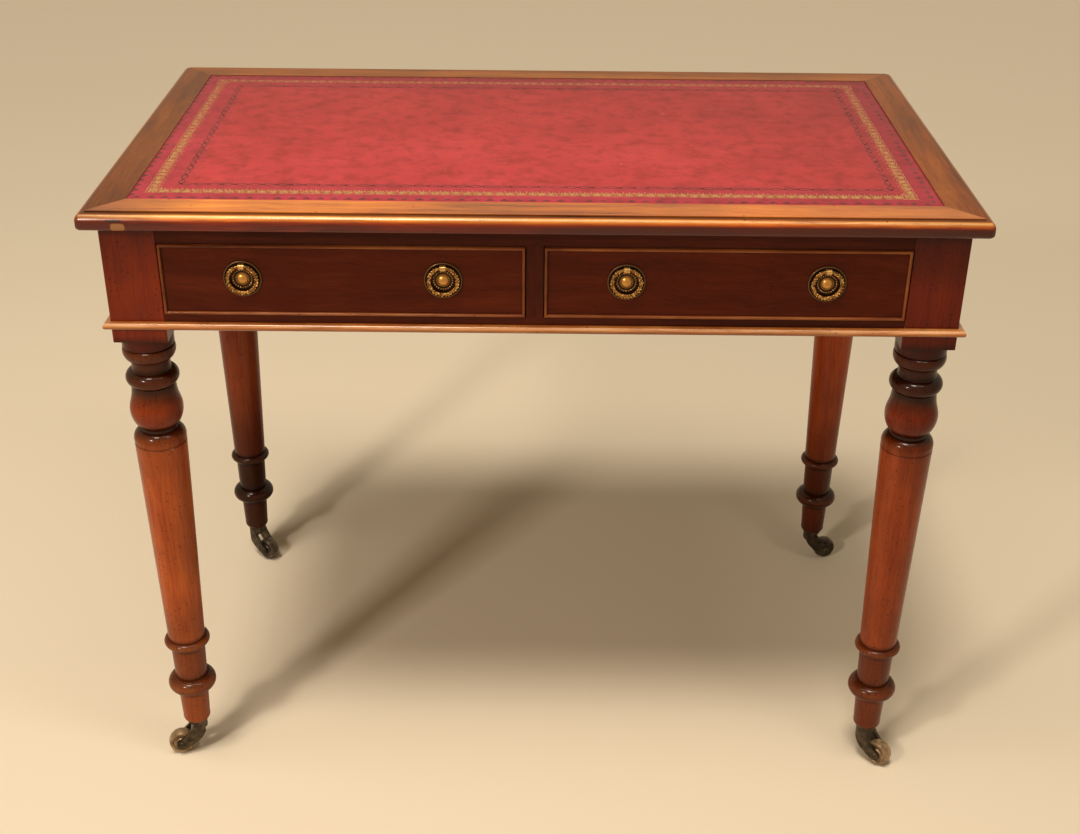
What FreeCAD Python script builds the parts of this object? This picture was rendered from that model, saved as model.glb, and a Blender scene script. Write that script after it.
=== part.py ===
import FreeCAD, Part
import Sketcher
import os
import re

# Writing table: leather-lined top, frieze with two drawers, turned legs on castors.
# Millimetres. X runs to the right, the drawers face -Y, Z is up, the floor is at Z 0.

sizes = [
    # Whole table and top
    ("desk_height", 736.0, "floor to the upper face of the banding"),
    ("top_width", 930.0, "width over the moulded edge"),
    ("top_depth", 535.0, "depth over the moulded edge"),
    ("top_thick", 19.0, "thickness of the banding"),
    ("top_overhang", 18.0, "moulded edge beyond the frieze face"),
    ("band_width", 44.0, "banding from outer edge to leather"),
    ("band_corner", 4.0, "rounding of the top's corners in plan"),
    ("edge_round", 4.0, "radius of the lower arris of the edge"),
    ("edge_lip", 5.0, "upright part of the edge"),
    ("edge_ovolo", 8.5, "radius of the quarter round"),
    ("edge_quirk", 1.5, "width of the flat between quarter round and step"),
    ("tongue_long", 6.0, "tongue of the core panel"),
    ("tongue_thick", 6.0, "thickness of that tongue"),
    ("leather_thick", 1.2, "thickness of the writing leather"),
    ("leather_drop", 0.2, "leather below the face of the banding"),
    ("joint_gap", 0.1, "glue clearance in every wood joint"),
    # Frieze
    ("frieze_high", 116.0, "height of the frieze under the top"),
    ("apron_thick", 22.0, "thickness of side and back aprons"),
    ("tenon_thick", 8.0, "thickness of the apron tenons"),
    ("tenon_long", 20.0, "length of all leg tenons"),
    ("tenon_set", 7.0, "tenon behind the apron's face"),
    ("haunch_top", 14.0, "shoulder above the apron tenon"),
    ("haunch_low", 10.0, "shoulder below the apron tenon"),
    ("rail_deep", 54.0, "front to back of the drawer rails and divider"),
    ("top_rail_high", 19.0, "rail above the drawers"),
    ("low_rail_high", 16.5, "rail below the drawers"),
    ("divider_wide", 18.0, "upright between the drawers"),
    ("lap_thick", 12.0, "thickness of the lapped dovetail of the upper rail"),
    ("lap_neck", 22.0, "lapped dovetail at its shoulder"),
    ("lap_end", 30.0, "lapped dovetail at its end"),
    ("twin_thick", 10.0, "each of the twin tenons of the lower rail"),
    ("twin_set", 10.0, "twin tenons in from the rail's edges"),
    ("twin_shoulder", 3.0, "shoulder above and below the twin tenons"),
    ("stub_long", 8.0, "stub tenons of divider and runners"),
    ("stub_thick", 8.0, "thickness of the divider's stub tenons"),
    ("stub_set", 14.0, "stub tenons in from the divider's edges"),
    ("bead_high", 8.0, "planted bead round the foot of the frieze"),
    ("bead_out", 7.0, "bead beyond the frieze face"),
    # Carcase under the drawers
    ("runner_wide", 25.0, "bearing strip under or over one drawer side"),
    ("tongue_high", 6.0, "height of the runner's stub tenon"),
    ("guide_rise", 22.5, "guide above the runner"),
    ("guide_drop", 11.0, "outer guide below the runner's face"),
    ("stop_long", 30.0, "drawer stop along the rail"),
    ("stop_deep", 12.0, "drawer stop front to back"),
    ("stop_high", 5.0, "drawer stop above the rail"),
    ("stop_apart", 220.0, "spacing of a drawer's two stops"),
    ("block_leg", 24.0, "side of the three-cornered glue blocks"),
    ("block_long", 60.0, "length of the glue blocks"),
    ("block_side_apart", 180.0, "spacing of the blocks on a side apron"),
    ("block_back_apart", 180.0, "spacing of the pairs of blocks on the back apron"),
    # Top screws
    ("screw_head_r", 4.0, "head radius"),
    ("screw_r", 2.0, "shank radius"),
    ("screw_bite", 12.0, "depth in the core panel"),
    ("screw_in", 15.0, "screws in from the inner edge of the upper rail"),
    ("screw_apart", 200.0, "spacing of the rail screws"),
    ("screw_back_y", 150.0, "place of the kicker screws behind the middle"),
    # Legs: block and turnings above the shaft, from the block down
    ("leg_square", 58.0, "square leg block"),
    ("leg_arris", 1.5, "rounding of the block's upright edges"),
    ("block_drop", 17.0, "block below the frieze"),
    ("drum_r", 28.0, "drum under the block"),
    ("drum_high", 13.0, "height of the drum"),
    ("quirk_deep", 1.5, "groove under the drum"),
    ("quirk_high", 2.5, "height of that groove"),
    ("cup_high", 16.0, "rounding from the groove to the neck"),
    ("cup_bulge", 3.2, "fullness of that rounding"),
    ("neck_r", 21.7, "neck over the ring"),
    ("neck_high", 12.0, "height of the neck"),
    ("neck_hollow", 0.8, "hollow of the neck"),
    ("ring_r", 29.0, "ring over the vase"),
    ("ring_high", 18.0, "height of the ring"),
    ("fillet_high", 3.0, "fillet under the ring"),
    ("vase_neck_r", 24.2, "top of the vase"),
    ("vase_waist_r", 27.3, "vase where hollow turns to belly"),
    ("vase_neck_high", 17.5, "hollow part of the vase"),
    ("vase_hollow", 0.63, "depth of the hollow"),
    ("vase_belly_high", 31.0, "round part of the vase"),
    ("vase_bulge", 4.2, "fullness of the belly"),
    ("vase_foot_r", 21.5, "foot of the vase"),
    ("throat_r", 20.8, "groove between vase and shaft"),
    ("throat_high", 4.0, "height of that groove"),
    ("shoulder_high", 13.0, "rounded shoulder of the shaft"),
    ("shoulder_bulge", 2.8, "fullness of the shoulder"),
    ("line_set", 3.0, "incised line below the shoulder"),
    ("line_high", 1.6, "height of the incised line"),
    ("line_deep", 0.8, "depth of the incised line"),
    ("shaft_top_r", 28.8, "shaft under the shoulder"),
    # Legs: from the castor up
    ("shaft_low_r", 21.7, "shaft at the upper collar"),
    ("collar_high", 10.0, "upper collar"),
    ("collar_r", 27.0, "radius of the upper collar"),
    ("ankle_top_r", 20.3, "ankle under the upper collar"),
    ("ankle_low_r", 19.0, "ankle over the lower collar"),
    ("ankle_long", 47.5, "length of the ankle"),
    ("bulb_high", 20.0, "lower collar"),
    ("bulb_r", 28.7, "radius of the lower collar"),
    ("foot_top_r", 17.9, "foot under the lower collar"),
    ("foot_low_r", 16.3, "foot above its rounded end"),
    ("foot_end_r", 12.5, "flat end of the foot"),
    ("foot_long", 50.0, "straight part of the foot"),
    ("foot_round", 8.0, "height of the rounded end"),
    ("foot_bulge", 1.5, "fullness of the rounded end"),
    # Drawers
    ("drawer_gap", 1.0, "play of a drawer in its opening"),
    ("drawer_behind", 32.5, "clear space behind a closed drawer"),
    ("front_thick", 22.0, "drawer front"),
    ("cock_thick", 3.0, "cock bead"),
    ("cock_deep", 9.0, "cock bead let into the front"),
    ("cock_out", 3.0, "cock bead beyond the front"),
    ("side_thick", 9.0, "drawer side"),
    ("side_drop", 5.0, "drawer side below the top of the front"),
    ("side_gap", 0.3, "running gap between drawer side and runner"),
    ("back_thick", 9.0, "drawer back"),
    ("back_drop", 4.0, "drawer back below the sides"),
    ("tail_long", 12.0, "tails in the drawer front"),
    ("tail_end", 17.0, "tail at its wide end"),
    ("tail_neck", 13.0, "tail at its shoulder"),
    ("floor_rise", 8.0, "drawer bottom above the lower edge of the sides"),
    ("floor_thick", 6.0, "drawer bottom"),
    ("groove_deep", 4.5, "grooves for the drawer bottom"),
    # Ring pulls
    ("pull_apart", 208.0, "spacing of a drawer's two pulls"),
    ("pull_rise", 2.0, "pulls above the middle of the front"),
    ("plate_r", 20.0, "round backplate"),
    ("plate_thick", 1.2, "backplate"),
    ("rim_wide", 2.2, "raised rim of the backplate"),
    ("rim_high", 0.9, "height of the rim"),
    ("dome_r", 6.5, "domed boss in the middle"),
    ("dome_high", 3.4, "height of the boss"),
    ("pull_r", 14.75, "ring at the middle of its wire"),
    ("wire_r", 1.75, "half thickness of the ring"),
    ("knop_r", 2.1, "knop at the lowest point of the ring"),
    ("wire_gap", 0.7, "ring in front of the backplate"),
    ("pin_r", 1.6, "straight part of the ring in its lug"),
    ("pin_play", 0.05, "running clearance round the pin"),
    ("lug_wide", 6.0, "width of the lug"),
    ("lug_gap", 0.6, "ring clear of each side of the lug"),
    ("lug_r", 3.0, "rounded nose of the lug"),
    ("bolt_r", 2.0, "shank behind the lug"),
    ("bolt_play", 0.2, "shank in plate and drawer front"),
    ("nut_square", 9.0, "square nut inside the drawer"),
    ("nut_thick", 3.2, "thickness of the nut"),
    ("bolt_past", 1.5, "shank beyond the nut"),
    # Castors
    ("castor_high", 50.0, "floor to the end of the foot"),
    ("castor_plate_r", 12.3, "plate under the foot"),
    ("castor_plate_thick", 3.2, "thickness of the plate"),
    ("pintle_r", 4.0, "pintle under the plate"),
    ("swivel_play", 0.05, "running clearance round the pintle"),
    ("swivel_gap", 0.3, "end play of the horn"),
    ("rivet_r", 6.0, "riveted end of the pintle"),
    ("rivet_thick", 2.0, "thickness of the riveted end"),
    ("bridge_thick", 9.0, "bridge of the horn"),
    ("horn_front", 5.0, "bridge ahead of the pintle"),
    ("castor_trail", 22.0, "axle behind the pintle"),
    ("arm_thick", 4.0, "each arm of the horn"),
    ("arm_gap", 1.0, "wheel clear of each arm"),
    ("eye_r", 6.5, "round end of the arms"),
    ("arm_hollow", 3.0, "hollow of the arm's upper edge"),
    ("arm_bulge", 4.0, "fullness of the arm's lower edge"),
    ("wheel_r", 16.0, "wheel"),
    ("wheel_wide", 13.0, "width of the wheel"),
    ("wheel_crown", 1.5, "crown of the tread"),
    ("wheel_hub_r", 5.5, "hub of the wheel"),
    ("wheel_dish", 1.5, "sunk faces of the wheel"),
    ("wheel_rim", 2.5, "rim round the sunk faces"),
    ("axle_r", 2.5, "axle"),
    ("axle_play", 0.05, "running clearance round the axle"),
    ("axle_head_r", 4.2, "riveted heads of the axle"),
    ("axle_head", 1.5, "height of those heads"),
    ("tack_circle", 8.3, "castor screws from the pintle"),
    ("tack_r", 1.5, "shank of the castor screws"),
    ("tack_head_r", 2.8, "head of the castor screws"),
    ("tack_long", 14.0, "castor screws in the foot"),
    # Directions in which the wheels trail, from +X towards +Y, in degrees
    ("turn_front_left", 192.0, "front left castor"),
    ("turn_front_right", 318.0, "front right castor"),
    ("turn_rear_left", 322.0, "rear left castor"),
    ("turn_rear_right", 12.0, "rear right castor"),
]

derived = [
    ("half_width", "top_width / 2"),
    ("half_depth", "top_depth / 2"),
    ("face_x", "half_width - top_overhang"),
    ("face_y", "half_depth - top_overhang"),
    ("inner_x", "face_x - leg_square"),
    ("inner_y", "face_y - leg_square"),
    ("leg_x", "face_x - leg_square / 2"),
    ("leg_y", "face_y - leg_square / 2"),
    ("top_under", "desk_height - top_thick"),
    ("core_x", "half_width - band_width - joint_gap"),
    ("core_y", "half_depth - band_width - joint_gap"),
    ("core_top", "desk_height - leather_drop - leather_thick"),
    ("tongue_low", "(top_thick - tongue_thick) / 2"),
    ("corner_in", "band_corner * (1 - cos(45))"),
    ("corner_bow", "band_corner * (1 - cos(22.5))"),
    ("quarter_bow", "1 - cos(45)"),
    ("frieze_low", "top_under - frieze_high"),
    ("bead_top", "frieze_low + bead_high"),
    ("block_low", "frieze_low - block_drop"),
    ("apron_x", "face_x - apron_thick"),
    ("apron_y", "face_y - apron_thick"),
    ("rail_back", "rail_deep - face_y"),
    ("open_top", "top_under - top_rail_high"),
    ("open_low", "frieze_low + low_rail_high"),
    ("half_divider", "divider_wide / 2"),
    # Leg levels downwards
    ("drum_low", "block_low - drum_high"),
    ("cup_top", "drum_low - quirk_high"),
    ("neck_top", "cup_top - cup_high"),
    ("ring_top", "neck_top - neck_high"),
    ("ring_low", "ring_top - ring_high"),
    ("vase_top", "ring_low - fillet_high"),
    ("vase_waist", "vase_top - vase_neck_high"),
    ("vase_low", "vase_waist - vase_belly_high"),
    ("shoulder_top", "vase_low - throat_high"),
    ("shaft_top", "shoulder_top - shoulder_high"),
    ("line_top", "shaft_top - line_set"),
    # Leg levels upwards
    ("round_top", "castor_high + foot_round"),
    ("bulb_low", "round_top + foot_long - foot_round"),
    ("bulb_top", "bulb_low + bulb_high"),
    ("collar_low", "bulb_top + ankle_long"),
    ("collar_top", "collar_low + collar_high"),
    ("collar_root", "collar_r - collar_high / 2"),
    ("bulb_root", "bulb_r - bulb_high / 2"),
    # Drawer, measured on the right-hand one
    ("drawer_x", "(inner_x + half_divider) / 2"),
    ("drawer_half", "(inner_x - half_divider) / 2 - drawer_gap"),
    ("drawer_in", "drawer_x - drawer_half"),
    ("drawer_out", "drawer_x + drawer_half"),
    ("drawer_low", "open_low + drawer_gap"),
    ("drawer_top", "open_top - drawer_gap"),
    ("front_back", "front_thick - face_y"),
    ("cock_back", "cock_deep - face_y"),
    ("side_low", "open_low + side_gap"),
    ("side_top", "drawer_top - side_drop"),
    ("rear_y", "apron_y - drawer_behind"),
    ("floor_low", "side_low + floor_rise"),
    ("floor_top", "floor_low + floor_thick"),
    ("back_low", "floor_top + joint_gap"),
    ("back_top", "side_top - back_drop"),
    # Ring pulls
    ("pull_z", "(drawer_low + drawer_top) / 2 + pull_rise"),
    ("pin_y", "plate_thick + wire_gap + wire_r"),
    ("pin_half", "lug_wide / 2 + lug_gap"),
    ("pin_z", "sqrt(pull_r ^ 2 - pin_half ^ 2)"),
    # Castors
    ("plate_low", "castor_high - castor_plate_thick"),
    ("horn_top", "plate_low - swivel_gap"),
    ("bridge_low", "horn_top - bridge_thick"),
    ("slot_half", "wheel_wide / 2 + arm_gap"),
    ("horn_half", "slot_half + arm_thick"),
    ("eye_in", "eye_r * cos(50)"),
    ("eye_up", "eye_r * sin(50)"),
    ("third_x", "cos(30)"),
    ("third_y", "sin(30)"),
]

doc = FreeCAD.newDocument("writing_table")
sheet = doc.addObject("Spreadsheet::Sheet", "sizes")
counters = {"derived": 0, "outline": 0, "point": 0}
pieces = []


def cell(alias, formula):
    """A worked-out size of the table, kept in its own column."""
    counters["derived"] += 1
    place = "E%d" % counters["derived"]
    sheet.set(place, "=" + formula)
    sheet.setAlias(place, alias)
    return alias


def bind(item, name, formula):
    """Tie one dimension of an object to the named sizes."""
    item.setExpression(name, re.sub(r"[a-z]\w*", r"sizes.\g<0>", formula))


def place(item, at, turn=None):
    for axis, formula in zip("xyz", at):
        bind(item, "Placement.Base." + axis, formula)
    if turn:
        bind(item, "Placement.Rotation.Angle", turn)
    return item


def piece(item):
    """A finished sub-part: its label names its file."""
    pieces.append(item)
    return item


def box(label, x, y, z):
    """Block between two planes along each axis."""
    item = doc.addObject("Part::Box", label)
    for size, axis, (low, high) in zip(("Length", "Width", "Height"), "xyz", (x, y, z)):
        bind(item, size, "(%s) - (%s)" % (high, low))
        bind(item, "Placement.Base." + axis, low)
    return item


def rod(label, at, radius, length, axis="z"):
    """Cylinder that starts at a point and runs along +X, +Y or +Z."""
    item = doc.addObject("Part::Cylinder", label)
    bind(item, "Radius", radius)
    bind(item, "Height", length)
    about, angle = {"x": ((1, 1, 1), 120), "y": ((1, 0, 0), -90), "z": ((0, 0, 1), 0)}[axis]
    item.Placement.Rotation = FreeCAD.Rotation(FreeCAD.Vector(about), angle)
    return place(item, at)


def group(label, solids):
    item = doc.addObject("Part::Compound", label)
    item.Links = solids
    return item


def copy(label, source, at, turn=None):
    """The same solid set down at another place."""
    return place(group(label, [source]), at, turn)


def fuse(label, solids):
    item = doc.addObject("Part::MultiFuse", label)
    item.Shapes = solids
    item.Refine = True
    return item


def cut(label, base, tools):
    item = doc.addObject("Part::Cut", label)
    item.Base = base
    item.Tool = tools[0] if len(tools) == 1 else group(label + "_hollows", tools)
    item.Refine = True
    return item


def common(label, base, tool):
    item = doc.addObject("Part::Common", label)
    item.Base = base
    item.Tool = tool
    return item


def mirror(label, source, normal=(1, 0, 0)):
    item = doc.addObject("Part::Mirroring", label)
    item.Source = source
    item.Normal = FreeCAD.Vector(normal)
    return item


def outline(body, plane, loops):
    """Closed outlines on one of the body's planes.

    Each corner is (u, v) or (u, v, bulge): the side that leaves a corner with a bulge is an arc
    that stands that far to the left of its chord, or to the right where the bulge is negative.
    """
    counters["outline"] += 1
    stem = "o%d_" % counters["outline"]
    sketch = body.newObject("Sketcher::SketchObject", body.Name + "_outline")
    planes = [feature for feature in body.Origin.OriginFeatures if feature.Role == plane]
    sketch.AttachmentSupport = [(planes[0], "")]
    sketch.MapMode = "FlatFace"
    named = []
    for loop in loops:
        corners = []
        for corner in loop:
            counters["point"] += 1
            tail = "%d_" % counters["point"]
            names = [cell(stem + axis + tail, formula) for axis, formula in zip("uvw", corner)]
            corners.append(names)
        named.append(corners)
    sheet.recompute()
    for corners in named:
        draw_loop(sketch, corners)
    return sketch


def bow_middle(start, end, bulge):
    """Names of the middle of an arc, worked out from its two ends and its bulge."""
    chord = "sqrt((%s - %s) ^ 2 + (%s - %s) ^ 2)" % (end[0], start[0], end[1], start[1])
    u = "(%s + %s) / 2 - (%s - %s) * %s / %s" % (start[0], end[0], end[1], start[1], bulge, chord)
    v = "(%s + %s) / 2 + (%s - %s) * %s / %s" % (start[1], end[1], end[0], start[0], bulge, chord)
    names = [cell(bulge + "u", u), cell(bulge + "v", v)]
    sheet.recompute()
    return names


def spot(names):
    return FreeCAD.Vector(sheet.get(names[0]), sheet.get(names[1]), 0)


def pin_down(sketch, side, end, names):
    """Hold one end of a side at a named place."""
    for kind, name in zip(("DistanceX", "DistanceY"), names):
        size = Sketcher.Constraint(kind, side, end, float(sheet.get(name)))
        sketch.setExpression("Constraints[%d]" % sketch.addConstraint(size), "sizes." + name)


def draw_loop(sketch, corners):
    sides = []
    for number, names in enumerate(corners):
        follower = corners[(number + 1) % len(corners)]
        start = spot(names)
        end = spot(follower)
        if len(names) == 2:
            side = sketch.addGeometry(Part.LineSegment(start, end), False)
            sides.append((side, 1, 2))
            continue
        middle = bow_middle(names, follower, names[2])
        # Arcs are stored anticlockwise, so one that bulges to the left is drawn from its far end
        if sheet.get(names[2]) < 0:
            side = sketch.addGeometry(Part.Arc(start, spot(middle), end), False)
            sides.append((side, 1, 2))
        else:
            side = sketch.addGeometry(Part.Arc(end, spot(middle), start), False)
            sides.append((side, 2, 1))
        crown = sketch.addGeometry(Part.Point(spot(middle)), True)
        sketch.addConstraint(Sketcher.Constraint("PointOnObject", crown, 1, side))
        pin_down(sketch, crown, 1, middle)
    for number, (side, first, last) in enumerate(sides):
        follower = sides[(number + 1) % len(sides)]
        sketch.addConstraint(Sketcher.Constraint("Coincident", side, last, follower[0], follower[1]))
        pin_down(sketch, side, first, corners[number])


def prism(label, plane, loops, length, at=("0", "0", "0")):
    """Outline carried along +Z, +X or +Y from the XY, YZ or XZ plane, then moved."""
    body = doc.addObject("PartDesign::Body", label)
    sketch = outline(body, plane, loops)
    pad = body.newObject("PartDesign::Pad", label + "_pad")
    pad.Profile = sketch
    pad.Reversed = plane == "XZ_Plane"
    bind(pad, "Length", length)
    return place(body, at)


def turning(label, plane, corners):
    """Profile turned about the upright axis of its plane: Z on XZ, Y on XY."""
    body = doc.addObject("PartDesign::Body", label)
    sketch = outline(body, plane, [corners])
    revolution = body.newObject("PartDesign::Revolution", label + "_turning")
    revolution.Profile = sketch
    revolution.ReferenceAxis = (sketch, ["V_Axis"])
    return body


def neg(formula):
    return "-(%s)" % formula


def span(half):
    """From minus to plus a half size."""
    return (neg(half), half)


def grown(pair):
    """The same span with the glue clearance on both ends."""
    return ("%s - joint_gap" % pair[0], "%s + joint_gap" % pair[1])


for number, (alias, value, meaning) in enumerate(sizes, start=1):
    sheet.set("A%d" % number, meaning)
    sheet.set("B%d" % number, str(value))
    sheet.setAlias("B%d" % number, alias)
for alias, formula in derived:
    cell(alias, formula)
doc.recompute()

# Screws: a countersunk shape on the Z axis, and the same with clearance for its hole


def screw_pattern(label, head, shank, low, tip, gap):
    profile = [
        ("0", low),
        ("%s + %s" % (head, gap), low),
        ("%s + %s" % (shank, gap), "%s + %s - %s" % (low, head, shank)),
        ("%s + %s" % (shank, gap), "%s - %s + %s" % (tip, shank, gap)),
        ("0", "%s + %s" % (tip, gap)),
    ]
    return turning(label, "XZ_Plane", profile)


screw_sizes = ("screw_head_r", "screw_r", "open_top", "top_under + screw_bite")
top_screw = screw_pattern("top_screw", *screw_sizes, "0")
top_screw_hole = screw_pattern("top_screw_hole", *screw_sizes, "joint_gap")
rail_steps = ("-1.5", "-0.5", "0.5", "1.5")
screw_spots = [("%s * screw_apart" % step, "rail_back - screw_in", "0") for step in rail_steps]
kicker_x = "inner_x - runner_wide / 2"
screw_spots += [(x, "screw_back_y", "0") for x in (neg(kicker_x), "0", kicker_x)]
screws = []
screw_holes = []
for number, at in enumerate(screw_spots):
    screws.append(copy("top_screw_%d" % number, top_screw, at))
    screw_holes.append(copy("top_screw_hole_%d" % number, top_screw_hole, at))
piece(group("top_screws", screws))
holes_in_top = group("holes_in_top", screw_holes)

# Top: core panel tongued into four mitred bands, leather on the core

core = box("core", span("core_x"), span("core_y"), ("top_under", "core_top"))
core_tongue = box(
    "core_tongue",
    span("core_x + tongue_long"),
    span("core_y + tongue_long"),
    ("top_under + tongue_low", "top_under + tongue_low + tongue_thick"),
)
piece(cut("top_core_panel", fuse("core_with_tongue", [core, core_tongue]), [holes_in_top]))
piece(box("writing_leather", span("core_x"), span("core_y"), ("core_top", "core_top + leather_thick")))


def band_section(edge):
    """Moulded edge, upper face and groove of a band, measured inwards from the outer edge."""
    deep = "%s + band_width" % edge
    groove = "%s + band_width - tongue_long - 2 * joint_gap" % edge
    lip = "top_under + edge_round"
    ovolo = "%s + edge_lip" % lip
    quirk = "%s + edge_ovolo" % ovolo
    step = "%s + edge_ovolo + edge_quirk" % edge
    low = "top_under + tongue_low - joint_gap"
    high = "top_under + tongue_low + tongue_thick + joint_gap"
    return [
        ("%s + edge_round" % edge, "top_under", "edge_round * quarter_bow"),
        (edge, lip),
        (edge, ovolo, "edge_ovolo * quarter_bow"),
        ("%s + edge_ovolo" % edge, quirk),
        (step, quirk),
        (step, "desk_height"),
        (deep, "desk_height"),
        (deep, high),
        (groove, high),
        (groove, low),
        (deep, low),
        (deep, "top_under"),
    ]


def band_plan(along, across):
    """Mitred plan of a band on the low side of the across axis, corners slightly rounded."""
    inner = "%s - band_width" % along
    return [
        ("corner_in - %s" % along, "corner_in - %s" % across, "-corner_bow"),
        ("band_corner - %s" % along, neg(across)),
        ("%s - band_corner" % along, neg(across), "-corner_bow"),
        ("%s - corner_in" % along, "corner_in - %s" % across),
        (inner, "band_width - %s" % across),
        (neg(inner), "band_width - %s" % across),
    ]


def swapped(corners):
    """The same outline with its two axes changed over."""
    return [(v, u) + tuple(neg(w) for w in bulge) for u, v, *bulge in corners]


band_at = ("0", "0", "top_under")
front_section = [band_section("-half_depth")]
front_plan = [band_plan("half_width", "half_depth")]
left_section = [band_section("-half_width")]
left_plan = [swapped(band_plan("half_depth", "half_width"))]
front_stock = prism("band_front_stock", "YZ_Plane", front_section, "top_width", ("-half_width", "0", "0"))
front_mitres = prism("band_front_mitres", "XY_Plane", front_plan, "top_thick", band_at)
left_stock = prism("band_left_stock", "XZ_Plane", left_section, "top_depth", ("0", "-half_depth", "0"))
left_mitres = prism("band_left_mitres", "XY_Plane", left_plan, "top_thick", band_at)
top_band_front = piece(common("top_band_front", front_stock, front_mitres))
top_band_left = piece(common("top_band_left", left_stock, left_mitres))
piece(mirror("top_band_back", top_band_front, (0, 1, 0)))
piece(mirror("top_band_right", top_band_left))

# Frieze: aprons with tenons, front rails, divider and planted bead

tenon_z = ("frieze_low + haunch_low", "top_under - haunch_top")
left_tenon_x = ("tenon_set - face_x", "tenon_set + tenon_thick - face_x")
back_tenon_y = ("face_y - tenon_set - tenon_thick", "face_y - tenon_set")
twin_spans = [
    ("twin_set - face_y", "twin_set + twin_thick - face_y"),
    ("rail_back - twin_set - twin_thick", "rail_back - twin_set"),
]
twin_z = ("frieze_low + twin_shoulder", "open_low - twin_shoulder")
rail_y = ("-face_y", "rail_back")

left_board = box("apron_left_board", ("-face_x", "-apron_x"), span("inner_y"), ("frieze_low", "top_under"))
left_tenons = box("apron_left_tenons", left_tenon_x, span("inner_y + tenon_long"), tenon_z)
apron_left = piece(fuse("apron_left", [left_board, left_tenons]))
piece(mirror("apron_right", apron_left))
rear_board = box("apron_back_board", span("inner_x"), ("apron_y", "face_y"), ("frieze_low", "top_under"))
rear_tenons = box("apron_back_tenons", span("inner_x + tenon_long"), back_tenon_y, tenon_z)
piece(fuse("apron_back", [rear_board, rear_tenons]))


def rail_dovetail(gap):
    """Plan of the lapped dovetail at the right-hand end of the upper rail."""
    return [
        ("inner_x - tenon_long", "-leg_y - lap_neck / 2 - %s" % gap),
        ("inner_x", "-leg_y - lap_neck / 2 - %s" % gap),
        ("inner_x + tenon_long + %s" % gap, "-leg_y - lap_end / 2 - %s" % gap),
        ("inner_x + tenon_long + %s" % gap, "-leg_y + lap_end / 2 + %s" % gap),
        ("inner_x", "-leg_y + lap_neck / 2 + %s" % gap),
        ("inner_x - tenon_long", "-leg_y + lap_neck / 2 + %s" % gap),
    ]


divider_stub_y = ("stub_set - face_y", "rail_back - stub_set")
divider_stub_z = ("open_low - stub_long", "open_top + stub_long")
divider_board = box("divider_board", span("half_divider"), rail_y, ("open_low", "open_top"))
stub_x = span("stub_thick / 2")
divider_stubs = box("divider_stubs", stub_x, divider_stub_y, divider_stub_z)
divider_mortise = box("divider_mortise", grown(stub_x), grown(divider_stub_y), grown(divider_stub_z))
piece(fuse("drawer_divider", [divider_board, divider_stubs]))

upper_board = box("upper_rail_board", span("inner_x"), rail_y, ("open_top", "top_under"))
lap_low = "top_under - lap_thick"
right_lap = prism("upper_rail_lap", "XY_Plane", [rail_dovetail("0")], "lap_thick", ("0", "0", lap_low))
left_lap = mirror("upper_rail_lap_left", right_lap)
upper_rail = fuse("upper_rail", [upper_board, right_lap, left_lap])
piece(cut("rail_above_drawers", upper_rail, [divider_mortise, holes_in_top]))

lower_board = box("lower_rail_board", span("inner_x"), rail_y, ("frieze_low", "open_low"))
twins = [box("twin_tenon_%d" % n, span("inner_x + tenon_long"), y, twin_z) for n, y in enumerate(twin_spans)]
lower_rail = fuse("lower_rail", [lower_board] + twins)

runner_stub_z = (
    "(frieze_low + open_low - tongue_high) / 2",
    "(frieze_low + open_low + tongue_high) / 2",
)
runner_stub_y = ("rail_back - stub_long", "apron_y")
side_strip = ("inner_x - runner_wide", "inner_x")
middle_strip = span("half_divider + runner_wide")
side_stub = ("inner_x - runner_wide + tongue_high", "inner_x - tongue_high")
middle_stub = span("half_divider + runner_wide - tongue_high")
bearing_y = ("rail_back", "apron_y")


def runner(label, strip, stub):
    board = box(label + "_board", strip, bearing_y, ("frieze_low", "open_low"))
    tenon = box(label + "_stub", stub, runner_stub_y, runner_stub_z)
    return fuse(label, [board, tenon])


def runner_mortise(label, stub):
    return box(label, grown(stub), grown(runner_stub_y), grown(runner_stub_z))


right_runner = runner("runner_right", side_strip, side_stub)
middle_runner = runner("runner_middle", middle_strip, middle_stub)
piece(group("drawer_runners", [mirror("runner_left", right_runner), middle_runner, right_runner]))
right_mortise = runner_mortise("runner_mortise_right", side_stub)
runner_mortises = [
    right_mortise,
    runner_mortise("runner_mortise_middle", middle_stub),
    mirror("runner_mortise_left", right_mortise),
]
piece(cut("rail_below_drawers", lower_rail, runner_mortises + [divider_mortise]))


def bead_section(face):
    """Half-round bead on the low side of a frieze face."""
    flat = "%s - bead_out + bead_high / 2" % face
    nose = (flat, "bead_top", "-bead_high / 2")
    return [(face, "frieze_low"), (face, "bead_top"), nose, (flat, "frieze_low")]


def bead_plan(along, across):
    return [
        ("-%s - bead_out" % along, "-%s - bead_out" % across),
        ("%s + bead_out" % along, "-%s - bead_out" % across),
        (along, neg(across)),
        (neg(along), neg(across)),
    ]


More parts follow.
